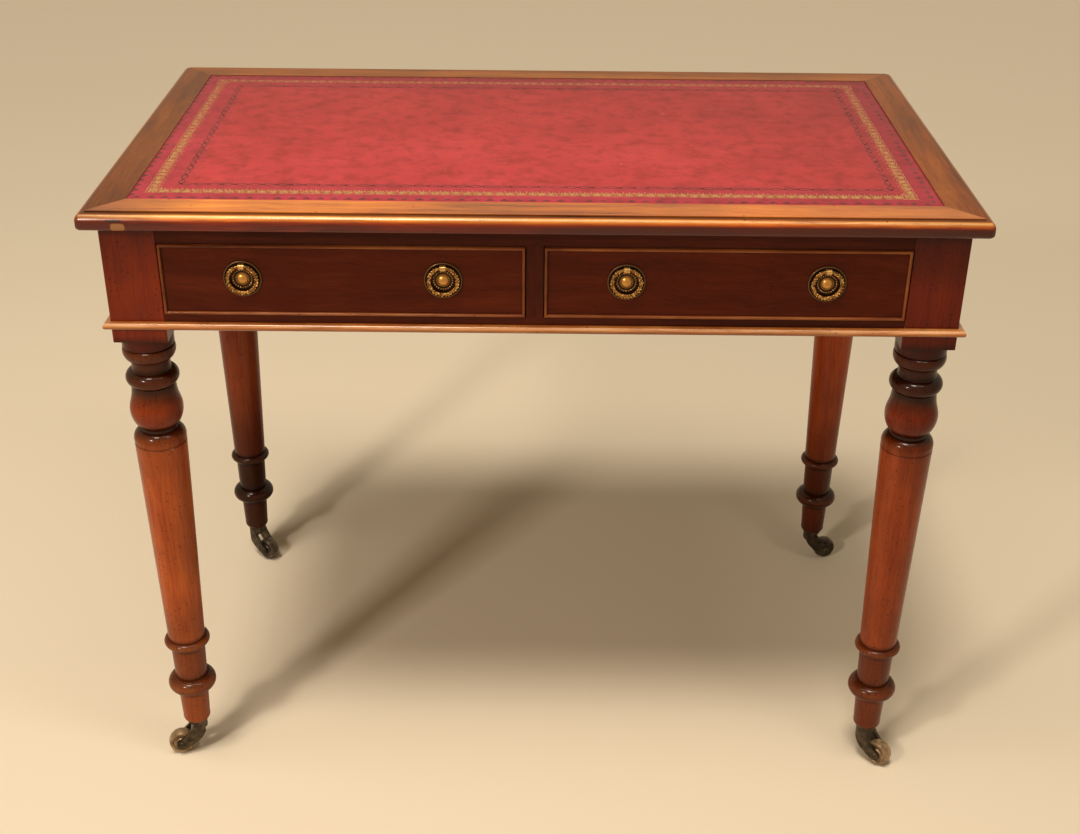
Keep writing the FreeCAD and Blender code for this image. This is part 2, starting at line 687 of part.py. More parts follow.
bead_base = ("0", "0", "frieze_low")
front_bead_at = ("-face_x - bead_out", "0", "0")
left_bead_at = ("0", "-face_y - bead_out", "0")
front_bead_long = "2 * (face_x + bead_out)"
left_bead_long = "2 * (face_y + bead_out)"
front_bead_section = [bead_section("-face_y")]
left_bead_section = [bead_section("-face_x")]
front_bead_plan = [bead_plan("face_x", "face_y")]
left_bead_plan = [swapped(bead_plan("face_y", "face_x"))]
front_bead_stock = prism("bead_front_stock", "YZ_Plane", front_bead_section, front_bead_long, front_bead_at)
left_bead_stock = prism("bead_left_stock", "XZ_Plane", left_bead_section, left_bead_long, left_bead_at)
front_bead_mitres = prism("bead_front_mitres", "XY_Plane", front_bead_plan, "bead_high", bead_base)
left_bead_mitres = prism("bead_left_mitres", "XY_Plane", left_bead_plan, "bead_high", bead_base)
front_bead = common("bead_front", front_bead_stock, front_bead_mitres)
left_bead = common("bead_left", left_bead_stock, left_bead_mitres)
back_bead = mirror("bead_back", front_bead, (0, 1, 0))
right_bead = mirror("bead_right", left_bead)
piece(group("frieze_beads", [front_bead, back_bead, left_bead, right_bead]))

# Guides, kickers, stops and glue blocks round the drawers

guide_z = ("open_low - guide_drop", "open_low + guide_rise")
right_guide = box("guide_right", ("inner_x", "apron_x"), span("inner_y"), guide_z)
middle_guide = box("guide_middle", span("half_divider"), bearing_y, ("open_low", "open_low + guide_rise"))
piece(group("drawer_guides", [mirror("guide_left", right_guide), middle_guide, right_guide]))

right_kicker_board = box("kicker_right_board", side_strip, bearing_y, ("open_top", "top_under"))
middle_kicker_board = box("kicker_middle_board", middle_strip, bearing_y, ("open_top", "top_under"))
right_kicker = cut("kicker_right", right_kicker_board, [holes_in_top])
middle_kicker = cut("kicker_middle", middle_kicker_board, [holes_in_top])
piece(group("drawer_kickers", [mirror("kicker_left", right_kicker), middle_kicker, right_kicker]))

stop_y = ("front_back + side_gap", "front_back + side_gap + stop_deep")
stops = []
for side, sign in (("inner", "-"), ("outer", "+")):
    middle = "(drawer_x %s stop_apart / 2)" % sign
    stop_x = ("%s - stop_long / 2" % middle, "%s + stop_long / 2" % middle)
    stop = box("stop_right_" + side, stop_x, stop_y, ("open_low", "open_low + stop_high"))
    stops += [stop, mirror("stop_left_" + side, stop)]
piece(group("drawer_stops", stops))


def glue_block(label, plane, wall, start, axis):
    """Three-cornered block in the angle between an apron and the top."""
    corners = [(wall, "top_under"), ("%s - block_leg" % wall, "top_under"), (wall, "top_under - block_leg")]
    at = (start, "0", "0") if axis == "x" else ("0", start, "0")
    return prism(label, plane, [corners], "block_long", at)


glue_blocks = []
for number, sign in enumerate("-+"):
    start = "%sblock_side_apart / 2 - block_long / 2" % sign
    block = glue_block("block_right_%d" % number, "XZ_Plane", "apron_x", start, "y")
    glue_blocks += [block, mirror("block_left_%d" % number, block)]
    start = "drawer_x %s block_back_apart / 2 - block_long / 2" % sign
    block = glue_block("block_back_right_%d" % number, "YZ_Plane", "apron_y", start, "x")
    glue_blocks += [block, mirror("block_back_left_%d" % number, block)]
piece(group("glue_blocks", glue_blocks))

# Castor screws: three in each plate, with their holes in plate and foot

corner_at = {
    "front_left": ("-leg_x", "-leg_y", "0"),
    "front_right": ("leg_x", "-leg_y", "0"),
    "rear_left": ("-leg_x", "leg_y", "0"),
    "rear_right": ("leg_x", "leg_y", "0"),
}
tack_sizes = ("tack_head_r", "tack_r", "plate_low", "castor_high + tack_long")
castor_screw = screw_pattern("castor_screw", *tack_sizes, "0")
castor_screw_hole = screw_pattern("castor_screw_hole", *tack_sizes, "joint_gap")
tack_spots = [
    ("0", "tack_circle", "0"),
    ("-tack_circle * third_x", "-tack_circle * third_y", "0"),
    ("tack_circle * third_x", "-tack_circle * third_y", "0"),
]
trio = [copy("tack_%d" % n, castor_screw, at) for n, at in enumerate(tack_spots)]
trio_holes = [copy("tack_hole_%d" % n, castor_screw_hole, at) for n, at in enumerate(tack_spots)]
tack_trio = group("tack_trio", trio)
tack_holes = group("tack_holes", trio_holes)
piece(group("castor_screws", [copy("tacks_" + corner, tack_trio, at) for corner, at in corner_at.items()]))

# Legs: square block and turned shaft, mortised for the frieze

leg_profile = [
    ("0", "block_low"),
    ("drum_r", "block_low"),
    ("drum_r", "drum_low"),
    ("drum_r - quirk_deep", "drum_low - quirk_high / 2"),
    ("drum_r", "cup_top", "cup_bulge"),
    ("neck_r", "neck_top", "-neck_hollow"),
    ("neck_r", "ring_top", "ring_r - neck_r"),
    ("neck_r", "ring_low"),
    ("vase_neck_r", "ring_low"),
    ("vase_neck_r", "vase_top", "-vase_hollow"),
    ("vase_waist_r", "vase_waist", "vase_bulge"),
    ("vase_foot_r", "vase_low"),
    ("throat_r", "vase_low"),
    ("throat_r", "shoulder_top", "shoulder_bulge"),
    ("shaft_top_r", "shaft_top"),
    ("shaft_top_r", "line_top"),
    ("shaft_top_r - line_deep", "line_top - line_high / 2"),
    ("shaft_top_r", "line_top - line_high"),
    ("shaft_low_r", "collar_top"),
    ("collar_root", "collar_top", "collar_high / 2"),
    ("collar_root", "collar_low"),
    ("ankle_top_r", "collar_low"),
    ("ankle_low_r", "bulb_top"),
    ("bulb_root", "bulb_top", "bulb_high / 2"),
    ("bulb_root", "bulb_low"),
    ("foot_top_r", "bulb_low"),
    ("foot_low_r", "round_top", "foot_bulge"),
    ("foot_end_r", "castor_high"),
    ("0", "castor_high"),
]
arris_in = "(leg_square / 2 - leg_arris)"
block_half = "(leg_square / 2)"
arris_bow = "-leg_arris * quarter_bow"
block_plan = [
    (arris_in, neg(block_half), arris_bow),
    (block_half, neg(arris_in)),
    (block_half, arris_in, arris_bow),
    (arris_in, block_half),
    (neg(arris_in), block_half, arris_bow),
    (neg(block_half), arris_in),
    (neg(block_half), neg(arris_in), arris_bow),
    (neg(arris_in), neg(block_half)),
]
leg_shaft = turning("leg_shaft", "XZ_Plane", leg_profile)
leg_block = prism("leg_block", "XY_Plane", [block_plan], "frieze_high + block_drop", ("0", "0", "block_low"))
leg_blank = cut("leg_blank", fuse("leg_turned", [leg_shaft, leg_block]), [tack_holes])

side_mortise = box("side_mortise", grown(left_tenon_x), grown(span("inner_y + tenon_long")), grown(tenon_z))
back_mortise = box("back_mortise", grown(span("inner_x + tenon_long")), grown(back_tenon_y), grown(tenon_z))
twin_mortises = [
    box("twin_mortise_%d" % n, grown(span("inner_x + tenon_long")), grown(y), grown(twin_z))
    for n, y in enumerate(twin_spans)
]
lap_at = ("0", "0", "%s - joint_gap" % lap_low)
lap_socket = prism("lap_socket", "XY_Plane", [rail_dovetail("joint_gap")], "lap_thick + joint_gap", lap_at)
lap_socket_left = mirror("lap_socket_left", lap_socket)
side_mortise_right = mirror("side_mortise_right", side_mortise)
sockets = {
    "front_left": [side_mortise, lap_socket_left] + twin_mortises,
    "front_right": [side_mortise_right, lap_socket] + twin_mortises,
    "rear_left": [side_mortise, back_mortise],
    "rear_right": [side_mortise_right, back_mortise],
}
for corner, at in corner_at.items():
    blank = copy("leg_blank_" + corner, leg_blank, at)
    piece(cut("leg_" + corner, blank, sockets[corner]))

# Drawers: the right-hand one is built, the left-hand one is its mirror image


def both_drawers(name, item):
    """The same piece of the right and the left drawer."""
    item.Label = "drawer_right_" + name
    piece(item)
    piece(mirror("drawer_left_" + name, item))


def tail_levels(low, high):
    return ["%s + (%s - %s) * %s" % (low, high, low, share) for share in ("1 / 6", "1 / 2", "5 / 6")]


def tail(shoulder, end, level, gap):
    """Corners of one tail, from its lower shoulder to its upper one."""
    return [
        (shoulder, "%s - tail_neck / 2 - %s" % (level, gap)),
        (end, "%s - tail_end / 2 - %s" % (level, gap)),
        (end, "%s + tail_end / 2 + %s" % (level, gap)),
        (shoulder, "%s + tail_neck / 2 + %s" % (level, gap)),
    ]


front_tails = tail_levels("side_low", "side_top")
back_tails = tail_levels("back_low", "back_top")
tail_tip = "front_back - tail_long"
back_shoulder = "rear_y - back_thick"
side_corners = [("front_back", "side_top")]
for level in reversed(front_tails):
    side_corners += reversed(tail("front_back", tail_tip, level, "0"))
side_corners += [("front_back", "side_low"), ("rear_y", "side_low")]
side_corners += [("rear_y", "back_low"), (back_shoulder, "back_low")]
for level in back_tails:
    side_corners += tail(back_shoulder, "rear_y", level, "0")
side_corners += [(back_shoulder, "back_top"), ("rear_y", "back_top"), ("rear_y", "side_top")]

socket_tip = "%s - joint_gap" % tail_tip
socket_shoulder = "%s - joint_gap" % back_shoulder
front_sockets = [tail("front_back", socket_tip, level, "joint_gap") for level in front_tails]
back_sockets = [tail(socket_shoulder, "rear_y + joint_gap", level, "joint_gap") for level in back_tails]
side_x = {"inner": "drawer_in", "outer": "drawer_out - side_thick"}
floor_x = ("drawer_in + side_thick - groove_deep", "drawer_out - side_thick + groove_deep")
floor_y = ("front_back - groove_deep", "rear_y")
floor_z = ("floor_low", "floor_top")
floor_groove = box("floor_groove", grown(floor_x), grown(floor_y), grown(floor_z))

for side, x in side_x.items():
    board = prism("side_board_" + side, "YZ_Plane", [side_corners], "side_thick", (x, "0", "0"))
    both_drawers("side_" + side, cut("side_" + side, board, [floor_groove]))

tail_sockets = []
for side, x in side_x.items():
    at = ("%s - joint_gap" % x, "0", "0")
    wide = "side_thick + 2 * joint_gap"
    tail_sockets.append(prism("front_sockets_" + side, "YZ_Plane", front_sockets, wide, at))
    tail_sockets.append(prism("back_sockets_" + side, "YZ_Plane", back_sockets, wide, at))

pull_spots = {
    "inner": ("drawer_x - pull_apart / 2", "-face_y", "pull_z"),
    "outer": ("drawer_x + pull_apart / 2", "-face_y", "pull_z"),
}
bolt_at = ("0", "-plate_thick", "pin_z")
bolt_hole = rod("bolt_hole", bolt_at, "bolt_r + bolt_play", "plate_thick + front_thick", "y")
bolt_holes = [copy("bolt_hole_" + side, bolt_hole, at) for side, at in pull_spots.items()]

drawer_wide = ("drawer_in", "drawer_out")
drawer_high = ("drawer_low", "drawer_top")
front_field = box(
    "front_field",
    ("drawer_in + cock_thick", "drawer_out - cock_thick"),
    ("-face_y", "front_back"),
    ("drawer_low + cock_thick", "drawer_top - cock_thick"),
)
front_body = box("front_body", drawer_wide, ("cock_back", "front_back"), drawer_high)
front_board = fuse("front_board", [front_field, front_body])
both_drawers("front", cut("front", front_board, tail_sockets + [floor_groove] + bolt_holes))
back_board = box("back_board", drawer_wide, (back_shoulder, "rear_y"), ("back_low", "back_top"))
both_drawers("back", cut("back", back_board, tail_sockets))
both_drawers("bottom", box("bottom", floor_x, floor_y, floor_z))


def cock_section(outer, sign):
    """Round-nosed strip let into an edge of the front; sign points from the edge inwards."""
    nose = "-face_y - cock_out + cock_thick / 2"
    inner = "%s %s cock_thick" % (outer, sign)
    bow = "cock_thick / 2" if sign == "+" else "-cock_thick / 2"
    return [("cock_back", outer), (nose, outer, bow), (nose, inner), ("cock_back", inner)]


cock_long = "cock_deep + cock_out"
cock_at = ("0", "-face_y - cock_out", "0")
low_plan = [
    ("drawer_in", "drawer_low"),
    ("drawer_out", "drawer_low"),
    ("drawer_out - cock_thick", "drawer_low + cock_thick"),
    ("drawer_in + cock_thick", "drawer_low + cock_thick"),
]
top_plan = [
    ("drawer_in", "drawer_top"),
    ("drawer_in + cock_thick", "drawer_top - cock_thick"),
    ("drawer_out - cock_thick", "drawer_top - cock_thick"),
    ("drawer_out", "drawer_top"),
]
in_plan = [
    ("drawer_in", "drawer_low"),
    ("drawer_in + cock_thick", "drawer_low + cock_thick"),
    ("drawer_in + cock_thick", "drawer_top - cock_thick"),
    ("drawer_in", "drawer_top"),
]
out_plan = [
    ("drawer_out", "drawer_low"),
    ("drawer_out", "drawer_top"),
    ("drawer_out - cock_thick", "drawer_top - cock_thick"),
    ("drawer_out - cock_thick", "drawer_low + cock_thick"),
]
cock_strips = []
for name, edge, sign, plan in (("low", "drawer_low", "+", low_plan), ("top", "drawer_top", "-", top_plan)):
    section = cock_section(edge, sign)
    stock = prism("cock_stock_" + name, "YZ_Plane", [section], "2 * drawer_half", ("drawer_in", "0", "0"))
    mitres = prism("cock_mitres_" + name, "XZ_Plane", [plan], cock_long, cock_at)
    cock_strips.append(common("cock_" + name, stock, mitres))
for name, edge, sign, plan in (("in", "drawer_in", "+", in_plan), ("out", "drawer_out", "-", out_plan)):
    section = swapped(cock_section(edge, sign))
    stock_at = ("0", "0", "drawer_low")
    stock = prism("cock_stock_" + name, "XY_Plane", [section], "drawer_top - drawer_low", stock_at)
    mitres = prism("cock_mitres_" + name, "XZ_Plane", [plan], cock_long, cock_at)
    cock_strips.append(common("cock_" + name, stock, mitres))
both_drawers("cock_bead", group("cock_bead", cock_strips))

# Ring pulls: turned backplate with rim and boss, eyebolt and nut, ring hung on a straight pin

plate_profile = [
    ("0", "0"),
    ("plate_r", "0"),
    ("plate_r", "-plate_thick", "rim_high"),
    ("plate_r - rim_wide", "-plate_thick"),
    ("dome_r", "-plate_thick", "dome_high * quarter_bow"),
    ("0", "-plate_thick - dome_high"),
]
lug_side = [
    ("-plate_thick", "pin_z - lug_r"),
    ("-plate_thick", "pin_z + lug_r"),
    ("-pin_y", "pin_z + lug_r", "-lug_r"),
    ("-pin_y", "pin_z - lug_r"),
]
plate_disc = turning("plate_disc", "XY_Plane", plate_profile)
handle_plate = cut("handle_plate", plate_disc, [bolt_hole])

lug = prism("lug", "YZ_Plane", [lug_side], "lug_wide", ("-lug_wide / 2", "0", "0"))
shank_long = "plate_thick + front_thick + nut_thick + bolt_past"
shank = rod("shank", bolt_at, "bolt_r", shank_long, "y")
eye = rod("eye", ("-lug_wide / 2", "-pin_y", "pin_z"), "pin_r + pin_play", "lug_wide", "x")
eyebolt = cut("eyebolt", fuse("eyebolt_blank", [lug, shank]), [eye])

nut_y = ("front_thick", "front_thick + nut_thick")
nut_z = ("pin_z - nut_square / 2", "pin_z + nut_square / 2")
nut_block = box("nut_block", span("nut_square / 2"), nut_y, nut_z)
nut_hole = rod("nut_hole", ("0", "front_thick", "pin_z"), "bolt_r + pin_play", "nut_thick", "y")
nut = cut("nut", nut_block, [nut_hole])

wire = doc.addObject("Part::Torus", "wire")
wire.Placement.Rotation = FreeCAD.Rotation(FreeCAD.Vector(1, 0, 0), 90)
bind(wire, "Radius1", "pull_r")
bind(wire, "Radius2", "wire_r")
place(wire, ("0", "-pin_y", "0"))
wire_band = ("-pin_y - 2 * wire_r", "2 * wire_r - pin_y")
wire_notch = box("wire_notch", span("pin_half"), wire_band, ("0", "pull_r + 2 * wire_r"))
pin_at = ("-pin_half - wire_r / 2", "-pin_y", "pin_z")
pin = rod("pin", pin_at, "pin_r", "2 * pin_half + wire_r", "x")
knop = doc.addObject("Part::Sphere", "knop")
knop.Placement.Rotation = FreeCAD.Rotation(FreeCAD.Vector(0, 0, 1), 90)
bind(knop, "Radius", "knop_r")
place(knop, ("0", "-pin_y", "-pull_r"))
ring_pull = fuse("ring_pull", [cut("open_wire", wire, [wire_notch]), pin, knop])

for side, at in pull_spots.items():
    ring = piece(copy("ring_pull_right_" + side, ring_pull, at))
    piece(mirror("ring_pull_left_" + side, ring))
for name, solid in (("handle_plates", handle_plate), ("handle_eyebolts", eyebolt), ("handle_nuts", nut)):
    both_drawers(name, group(name, [copy(name + "_" + side, solid, at) for side, at in pull_spots.items()]))

# Castors: plate with riveted pintle, forked horn, wheel on a riveted axle

castor_plate_profile = [
    ("0", "castor_high"),
    ("castor_plate_r", "castor_high"),
    ("castor_plate_r", "plate_low"),
    ("pintle_r", "plate_low"),
    ("pintle_r", "bridge_low - swivel_gap"),
    ("rivet_r", "bridge_low - swivel_gap"),
    ("pintle_r", "bridge_low - swivel_gap - rivet_thick"),
    ("0", "bridge_low - swivel_gap - rivet_thick"),
]
horn_side = [
    ("-horn_half", "horn_top"),
    ("horn_front", "horn_top", "-arm_hollow"),
    ("castor_trail + eye_in", "wheel_r + eye_up", "eye_r"),
    ("castor_trail - eye_in", "wheel_r - eye_up", "arm_bulge"),
    ("-horn_half", "bridge_low"),
]
horn_plan = [
    ("castor_trail + 2 * eye_r", "horn_half"),
    ("0", "horn_half", "-horn_half"),
    ("0", "-horn_half"),
    ("castor_trail + 2 * eye_r", "-horn_half"),
]
wheel_side = "wheel_wide / 2"
tread_r = "wheel_r - wheel_crown"
dish_side = "wheel_wide / 2 - wheel_dish"
dish_rim = "wheel_r - wheel_crown - wheel_rim"
wheel_profile = [
    ("axle_r + axle_play", neg(wheel_side)),
    ("wheel_hub_r", neg(wheel_side)),
    ("wheel_hub_r + wheel_dish", neg(dish_side)),
    ("%s - wheel_dish" % dish_rim, neg(dish_side)),
    (dish_rim, neg(wheel_side)),
    (tread_r, neg(wheel_side), "-wheel_crown"),
    (tread_r, wheel_side),
    (dish_rim, wheel_side),
    ("%s - wheel_dish" % dish_rim, dish_side),
    ("wheel_hub_r + wheel_dish", dish_side),
    ("wheel_hub_r", wheel_side),
    ("axle_r + axle_play", wheel_side),
]
axle_profile = [
    ("0", "-horn_half - axle_head"),
    ("axle_head_r / 2", "-horn_half - axle_head", "-axle_head / 4"),
    ("axle_head_r", "-horn_half"),
    ("axle_r", "-horn_half"),
    ("axle_r", "horn_half"),
    ("axle_head_r", "horn_half", "-axle_head / 4"),
    ("axle_head_r / 2", "horn_half + axle_head"),
    ("0", "horn_half + axle_head"),
]
castor_disc = turning("castor_disc", "XZ_Plane", castor_plate_profile)
castor_plate = cut("castor_plate", castor_disc, [tack_holes])

cheeks = prism("cheeks", "XZ_Plane", [horn_side], "2 * horn_half", ("0", "-horn_half", "0"))
horn_blank = common("horn_blank", cheeks, prism("horn_plan", "XY_Plane", [horn_plan], "castor_high"))
slot_x = ("-2 * horn_half", "castor_trail + 2 * eye_r")
slot = box("horn_slot", slot_x, span("slot_half"), ("0", "bridge_low"))
pintle_bore = rod("pintle_bore", ("0", "0", "0"), "pintle_r + swivel_play", "castor_high")
axle_at = ("castor_trail", "-horn_half", "wheel_r")
axle_bore = rod("axle_bore", axle_at, "axle_r + axle_play", "2 * horn_half", "y")
horn = cut("horn", horn_blank, [slot, pintle_bore, axle_bore])
wheel = turning("wheel", "XY_Plane", wheel_profile)
axle = turning("axle", "XY_Plane", axle_profile)

plates = []
for corner, at in corner_at.items():
    turn = "turn_" + corner
    plates.append(copy("castor_plate_" + corner, castor_plate, at))
    piece(copy("castor_horn_" + corner, horn, at, turn))
    x = cell("wheel_x_" + corner, "%s + castor_trail * cos(%s)" % (at[0], turn))
    y = cell("wheel_y_" + corner, "%s + castor_trail * sin(%s)" % (at[1], turn))
    piece(copy("castor_wheel_" + corner, wheel, (x, y, "wheel_r"), turn))
    piece(copy("castor_axle_" + corner, axle, (x, y, "wheel_r"), turn))
piece(group("castor_plates", plates))

# Every object has to come out sound before any sub-part is written

doc.recompute()
for item in doc.Objects:
    if "Invalid" in item.State or "Error" in item.State:
        raise RuntimeError("%s could not be built: %s" % (item.Label, item.State))
for item in pieces:
    if item.Shape.isNull() or not item.Shape.isValid() or not item.Shape.Solids:
        raise RuntimeError("%s has no sound solid" % item.Label)
os.makedirs("parts", exist_ok=True)
for item in pieces:
    item.Shape.exportStep("parts/%s.step" % item.Label)
print("%d sub-parts, %d solids" % (len(pieces), sum(len(item.Shape.Solids) for item in pieces)))
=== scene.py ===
import math

import bmesh
import bpy
from mathutils import Matrix, Vector, noise


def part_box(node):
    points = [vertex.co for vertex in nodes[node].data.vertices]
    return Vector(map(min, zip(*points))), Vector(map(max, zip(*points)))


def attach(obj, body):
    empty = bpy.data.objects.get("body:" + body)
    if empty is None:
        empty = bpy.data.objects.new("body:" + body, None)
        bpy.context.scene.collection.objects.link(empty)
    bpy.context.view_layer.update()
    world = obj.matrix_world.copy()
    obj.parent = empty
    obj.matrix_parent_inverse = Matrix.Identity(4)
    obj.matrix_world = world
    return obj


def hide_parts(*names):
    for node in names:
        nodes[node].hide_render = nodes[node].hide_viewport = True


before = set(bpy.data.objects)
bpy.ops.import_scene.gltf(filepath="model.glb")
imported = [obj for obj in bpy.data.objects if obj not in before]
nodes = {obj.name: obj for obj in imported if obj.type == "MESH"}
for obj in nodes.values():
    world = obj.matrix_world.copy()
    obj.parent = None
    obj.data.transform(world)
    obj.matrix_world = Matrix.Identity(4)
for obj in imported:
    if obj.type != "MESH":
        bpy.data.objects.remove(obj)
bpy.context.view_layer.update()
print("frame loaded:", len(nodes), "nodes")

mm = 0.001
hands = {"left": -1, "right": 1}  # each drawer's side of the middle
sides = ("inner", "outer")
corners = ("front_left", "front_right", "rear_left", "rear_right")


def linear(hexText):  # sRGB hex to the linear colour that sockets take
    parts = [int(hexText[i:i + 2], 16) / 255 for i in (1, 3, 5)]
    return (*[c / 12.92 if c <= 0.04045 else ((c + 0.055) / 1.055) ** 2.4 for c in parts], 1.0)


def tint(value):  # hex text, one share of grey, or three shares of red, green and blue
    if isinstance(value, str):
        return linear(value)
    return (*value, 1.0) if isinstance(value, tuple) else (value, value, value, 1.0)


def addNode(tree, kind, inputs=(), stops=(), **settings):  # a node as an input means its first output
    made = tree.nodes.new(kind)
    for key, value in settings.items():
        setattr(made, key, value)
    for key, value in dict(inputs).items():
        for item in value if isinstance(value, list) else [value]:  # a list links each of its items
            if isinstance(item, bpy.types.Node):
                item = item.outputs[0]
            if isinstance(item, bpy.types.NodeSocket):
                tree.links.new(item, made.inputs[key])
            else:
                made.inputs[key].default_value = linear(item) if isinstance(item, str) else item
    for i, (place, colour) in enumerate(stops):  # a ramp comes with two stops, which are used first
        element = made.color_ramp.elements[i] if i < 2 else made.color_ramp.elements.new(1.0)
        element.position, element.color = place, tint(colour)
    return made


def newMaterial(name):
    material = bpy.data.materials.new(name)
    material.use_nodes = True
    material.node_tree.nodes.clear()
    return material, material.node_tree


def shown(name, mesh):
    piece = bpy.data.objects.new(name, mesh)
    bpy.context.scene.collection.objects.link(piece)
    return piece


# camera: the photograph's viewpoint, found from the corners of the top and the feet
viewpoint = {
    "place": (0.00603, -1.6790, 1.2891), "turn": -0.026, "tilt": -28.947, "roll": -0.543,
    "lens": 50.0, "sensor": 36.0, "farthest": 60.0,
}
look = Matrix.Rotation(math.radians(viewpoint["turn"]), 4, "Z")
look = look @ Matrix.Rotation(math.radians(viewpoint["tilt"]), 4, "X")
look = look @ Matrix.Rotation(math.radians(viewpoint["roll"]), 4, "Y")
look = look @ Matrix.Rotation(math.radians(90), 4, "X")
camera = shown("camera", bpy.data.cameras.new("camera"))
camera.data.lens = viewpoint["lens"]
camera.data.sensor_width = viewpoint["sensor"]
camera.data.clip_end = viewpoint["farthest"]
camera.matrix_world = Matrix.Translation(viewpoint["place"]) @ look
bpy.context.scene.camera = camera
print("camera placed")


# woods: mahogany cut along the grain and French polished shows broad dark figure, long fibres and
# short open pores under a thin clear film
grain = {  # millimetres along and across the grain
    "figure": (250.0, 18.0),
    "fibre": (50.0, 2.6),  # real fibre is 0.3 mm, drawn coarse so that it shows
    "pores": (14.0, 1.0),  # real vessels are 0.3 mm wide, drawn coarse so that they show
    "bend": 165.0,         # distance over which the grain wanders
    "clouds": 110.0,       # uneven polish
    "knocks": 6.5,         # small dents, this far apart
}
woodBase = {  # what holds for every wood that doesn't say otherwise
    "sway": 20.0,  # how far the grain wanders, in millimetres
    "fibreShare": 0.38, "poreDepth": 0.3, "patina": 0.6,
    "dents": 0.07, "dentSize": (0.08, 0.24), "dentSquat": 1.6, "dentShow": 0.85, "dentTint": "#4A2A1A",
    "bump": 0.25, "bumpDeep": 0.4,  # the depth is in millimetres
    "shine": 0.06,  # the film gives the shine, the wood under it next to none
    "coatBlur": 0.07, "zones": (),
}
multiply = {"data_type": "RGBA", "blend_type": "MULTIPLY"}
cover = {"data_type": "RGBA", "blend_type": "MIX"}


def woodFinish(name, spec):
    spec = {**woodBase, **spec}
    material, tree = newMaterial(name)
    place = addNode(tree, "ShaderNodeTexCoord").outputs["Object"]
    drift = addNode(tree, "ShaderNodeTexNoise", {
        "Vector": place, "Scale": 1 / (grain["bend"] * mm), "Detail": 2.0,
    })
    sway = (spec["sway"] * mm,) * 3
    bent = addNode(tree, "ShaderNodeVectorMath", {0: drift.outputs["Color"], 1: sway, 2: place},
                   operation="MULTIPLY_ADD")
    layers = {}
    for layer, detail in (("figure", 4.0), ("fibre", 2.0), ("pores", 1.0)):
        along, across = grain[layer]
        scale = tuple(1 / ((along if axis in spec["grain"] else across) * mm) for axis in "xyz")
        laid = addNode(tree, "ShaderNodeMapping", {"Vector": bent, "Scale": scale})
        layers[layer] = addNode(tree, "ShaderNodeTexNoise", {
            "Vector": laid, "Scale": 1.0, "Detail": detail,
        })
    streak = addNode(tree, "ShaderNodeMix", {0: spec["fibreShare"], 2: layers["figure"], 3: layers["fibre"]})
    stops = ((0.34, spec["dark"]), (0.5, spec["mid"]), (0.66, spec["light"]))
    colour = addNode(tree, "ShaderNodeValToRGB", {0: streak}, stops)
    pit = addNode(tree, "ShaderNodeValToRGB", {0: layers["pores"]}, ((0.32, 0.45), (0.42, 1.0)))
    colour = addNode(tree, "ShaderNodeMix", {0: spec["poreDepth"], 6: colour, 7: pit}, **multiply).outputs[2]
    cloud = addNode(tree, "ShaderNodeTexNoise", {
        "Vector": place, "Scale": 1 / (grain["clouds"] * mm), "Detail": 3.0,
    })
    polish = addNode(tree, "ShaderNodeValToRGB", {0: cloud}, ((0.32, 0.62), (0.62, 1.12)))
    colour = addNode(tree, "ShaderNodeMix", {0: spec["patina"], 6: colour, 7: polish}, **multiply).outputs[2]
    squat = addNode(tree, "ShaderNodeMapping", {"Vector": bent, "Scale": (1.0, 1.0, spec["dentSquat"])})
    spots = addNode(tree, "ShaderNodeTexVoronoi", {
        "Vector": squat, "Scale": 1 / (grain["knocks"] * mm),
    }).outputs
    small, large = spec["dentSize"]
    near = addNode(tree, "ShaderNodeMapRange", {
        "Value": spots["Distance"], 1: small, 2: large, 3: spec["dentShow"], 4: 0.0,
    })
    pick = addNode(tree, "ShaderNodeSeparateColor", {0: spots["Color"]})
    few = addNode(tree, "ShaderNodeMath", {0: pick, 1: 1 - spec["dents"]}, operation="GREATER_THAN")
    dent = addNode(tree, "ShaderNodeMath", {0: near, 1: few}, operation="MULTIPLY")
    colour = addNode(tree, "ShaderNodeMix", {0: dent, 6: colour, 7: spec["dentTint"]}, **multiply).outputs[2]
    for zone in spec["zones"]:  # darker or paler places by where they lie on the table
        colour = zone(tree, place, colour)
    smooth, coarse = spec["rough"]
    rough = addNode(tree, "ShaderNodeMapRange", {"Value": layers["fibre"], 3: smooth, 4: coarse})
    height = addNode(tree, "ShaderNodeMix", {0: 0.5, 2: layers["fibre"], 3: pit})
    height = addNode(tree, "ShaderNodeMath", {0: height, 1: dent}, operation="SUBTRACT")
    relief = addNode(tree, "ShaderNodeBump", {
        "Height": height, "Strength": spec["bump"], "Distance": spec["bumpDeep"] * mm,
    })
    shader = addNode(tree, "ShaderNodeBsdfPrincipled", {
        "Base Color": colour, "Roughness": rough, "Normal": relief, "Specular IOR Level": spec["shine"],
        "Coat Weight": spec["coat"], "Coat Roughness": spec["coatBlur"],
    })
    addNode(tree, "ShaderNodeOutputMaterial", {"Surface": shader})
    return material


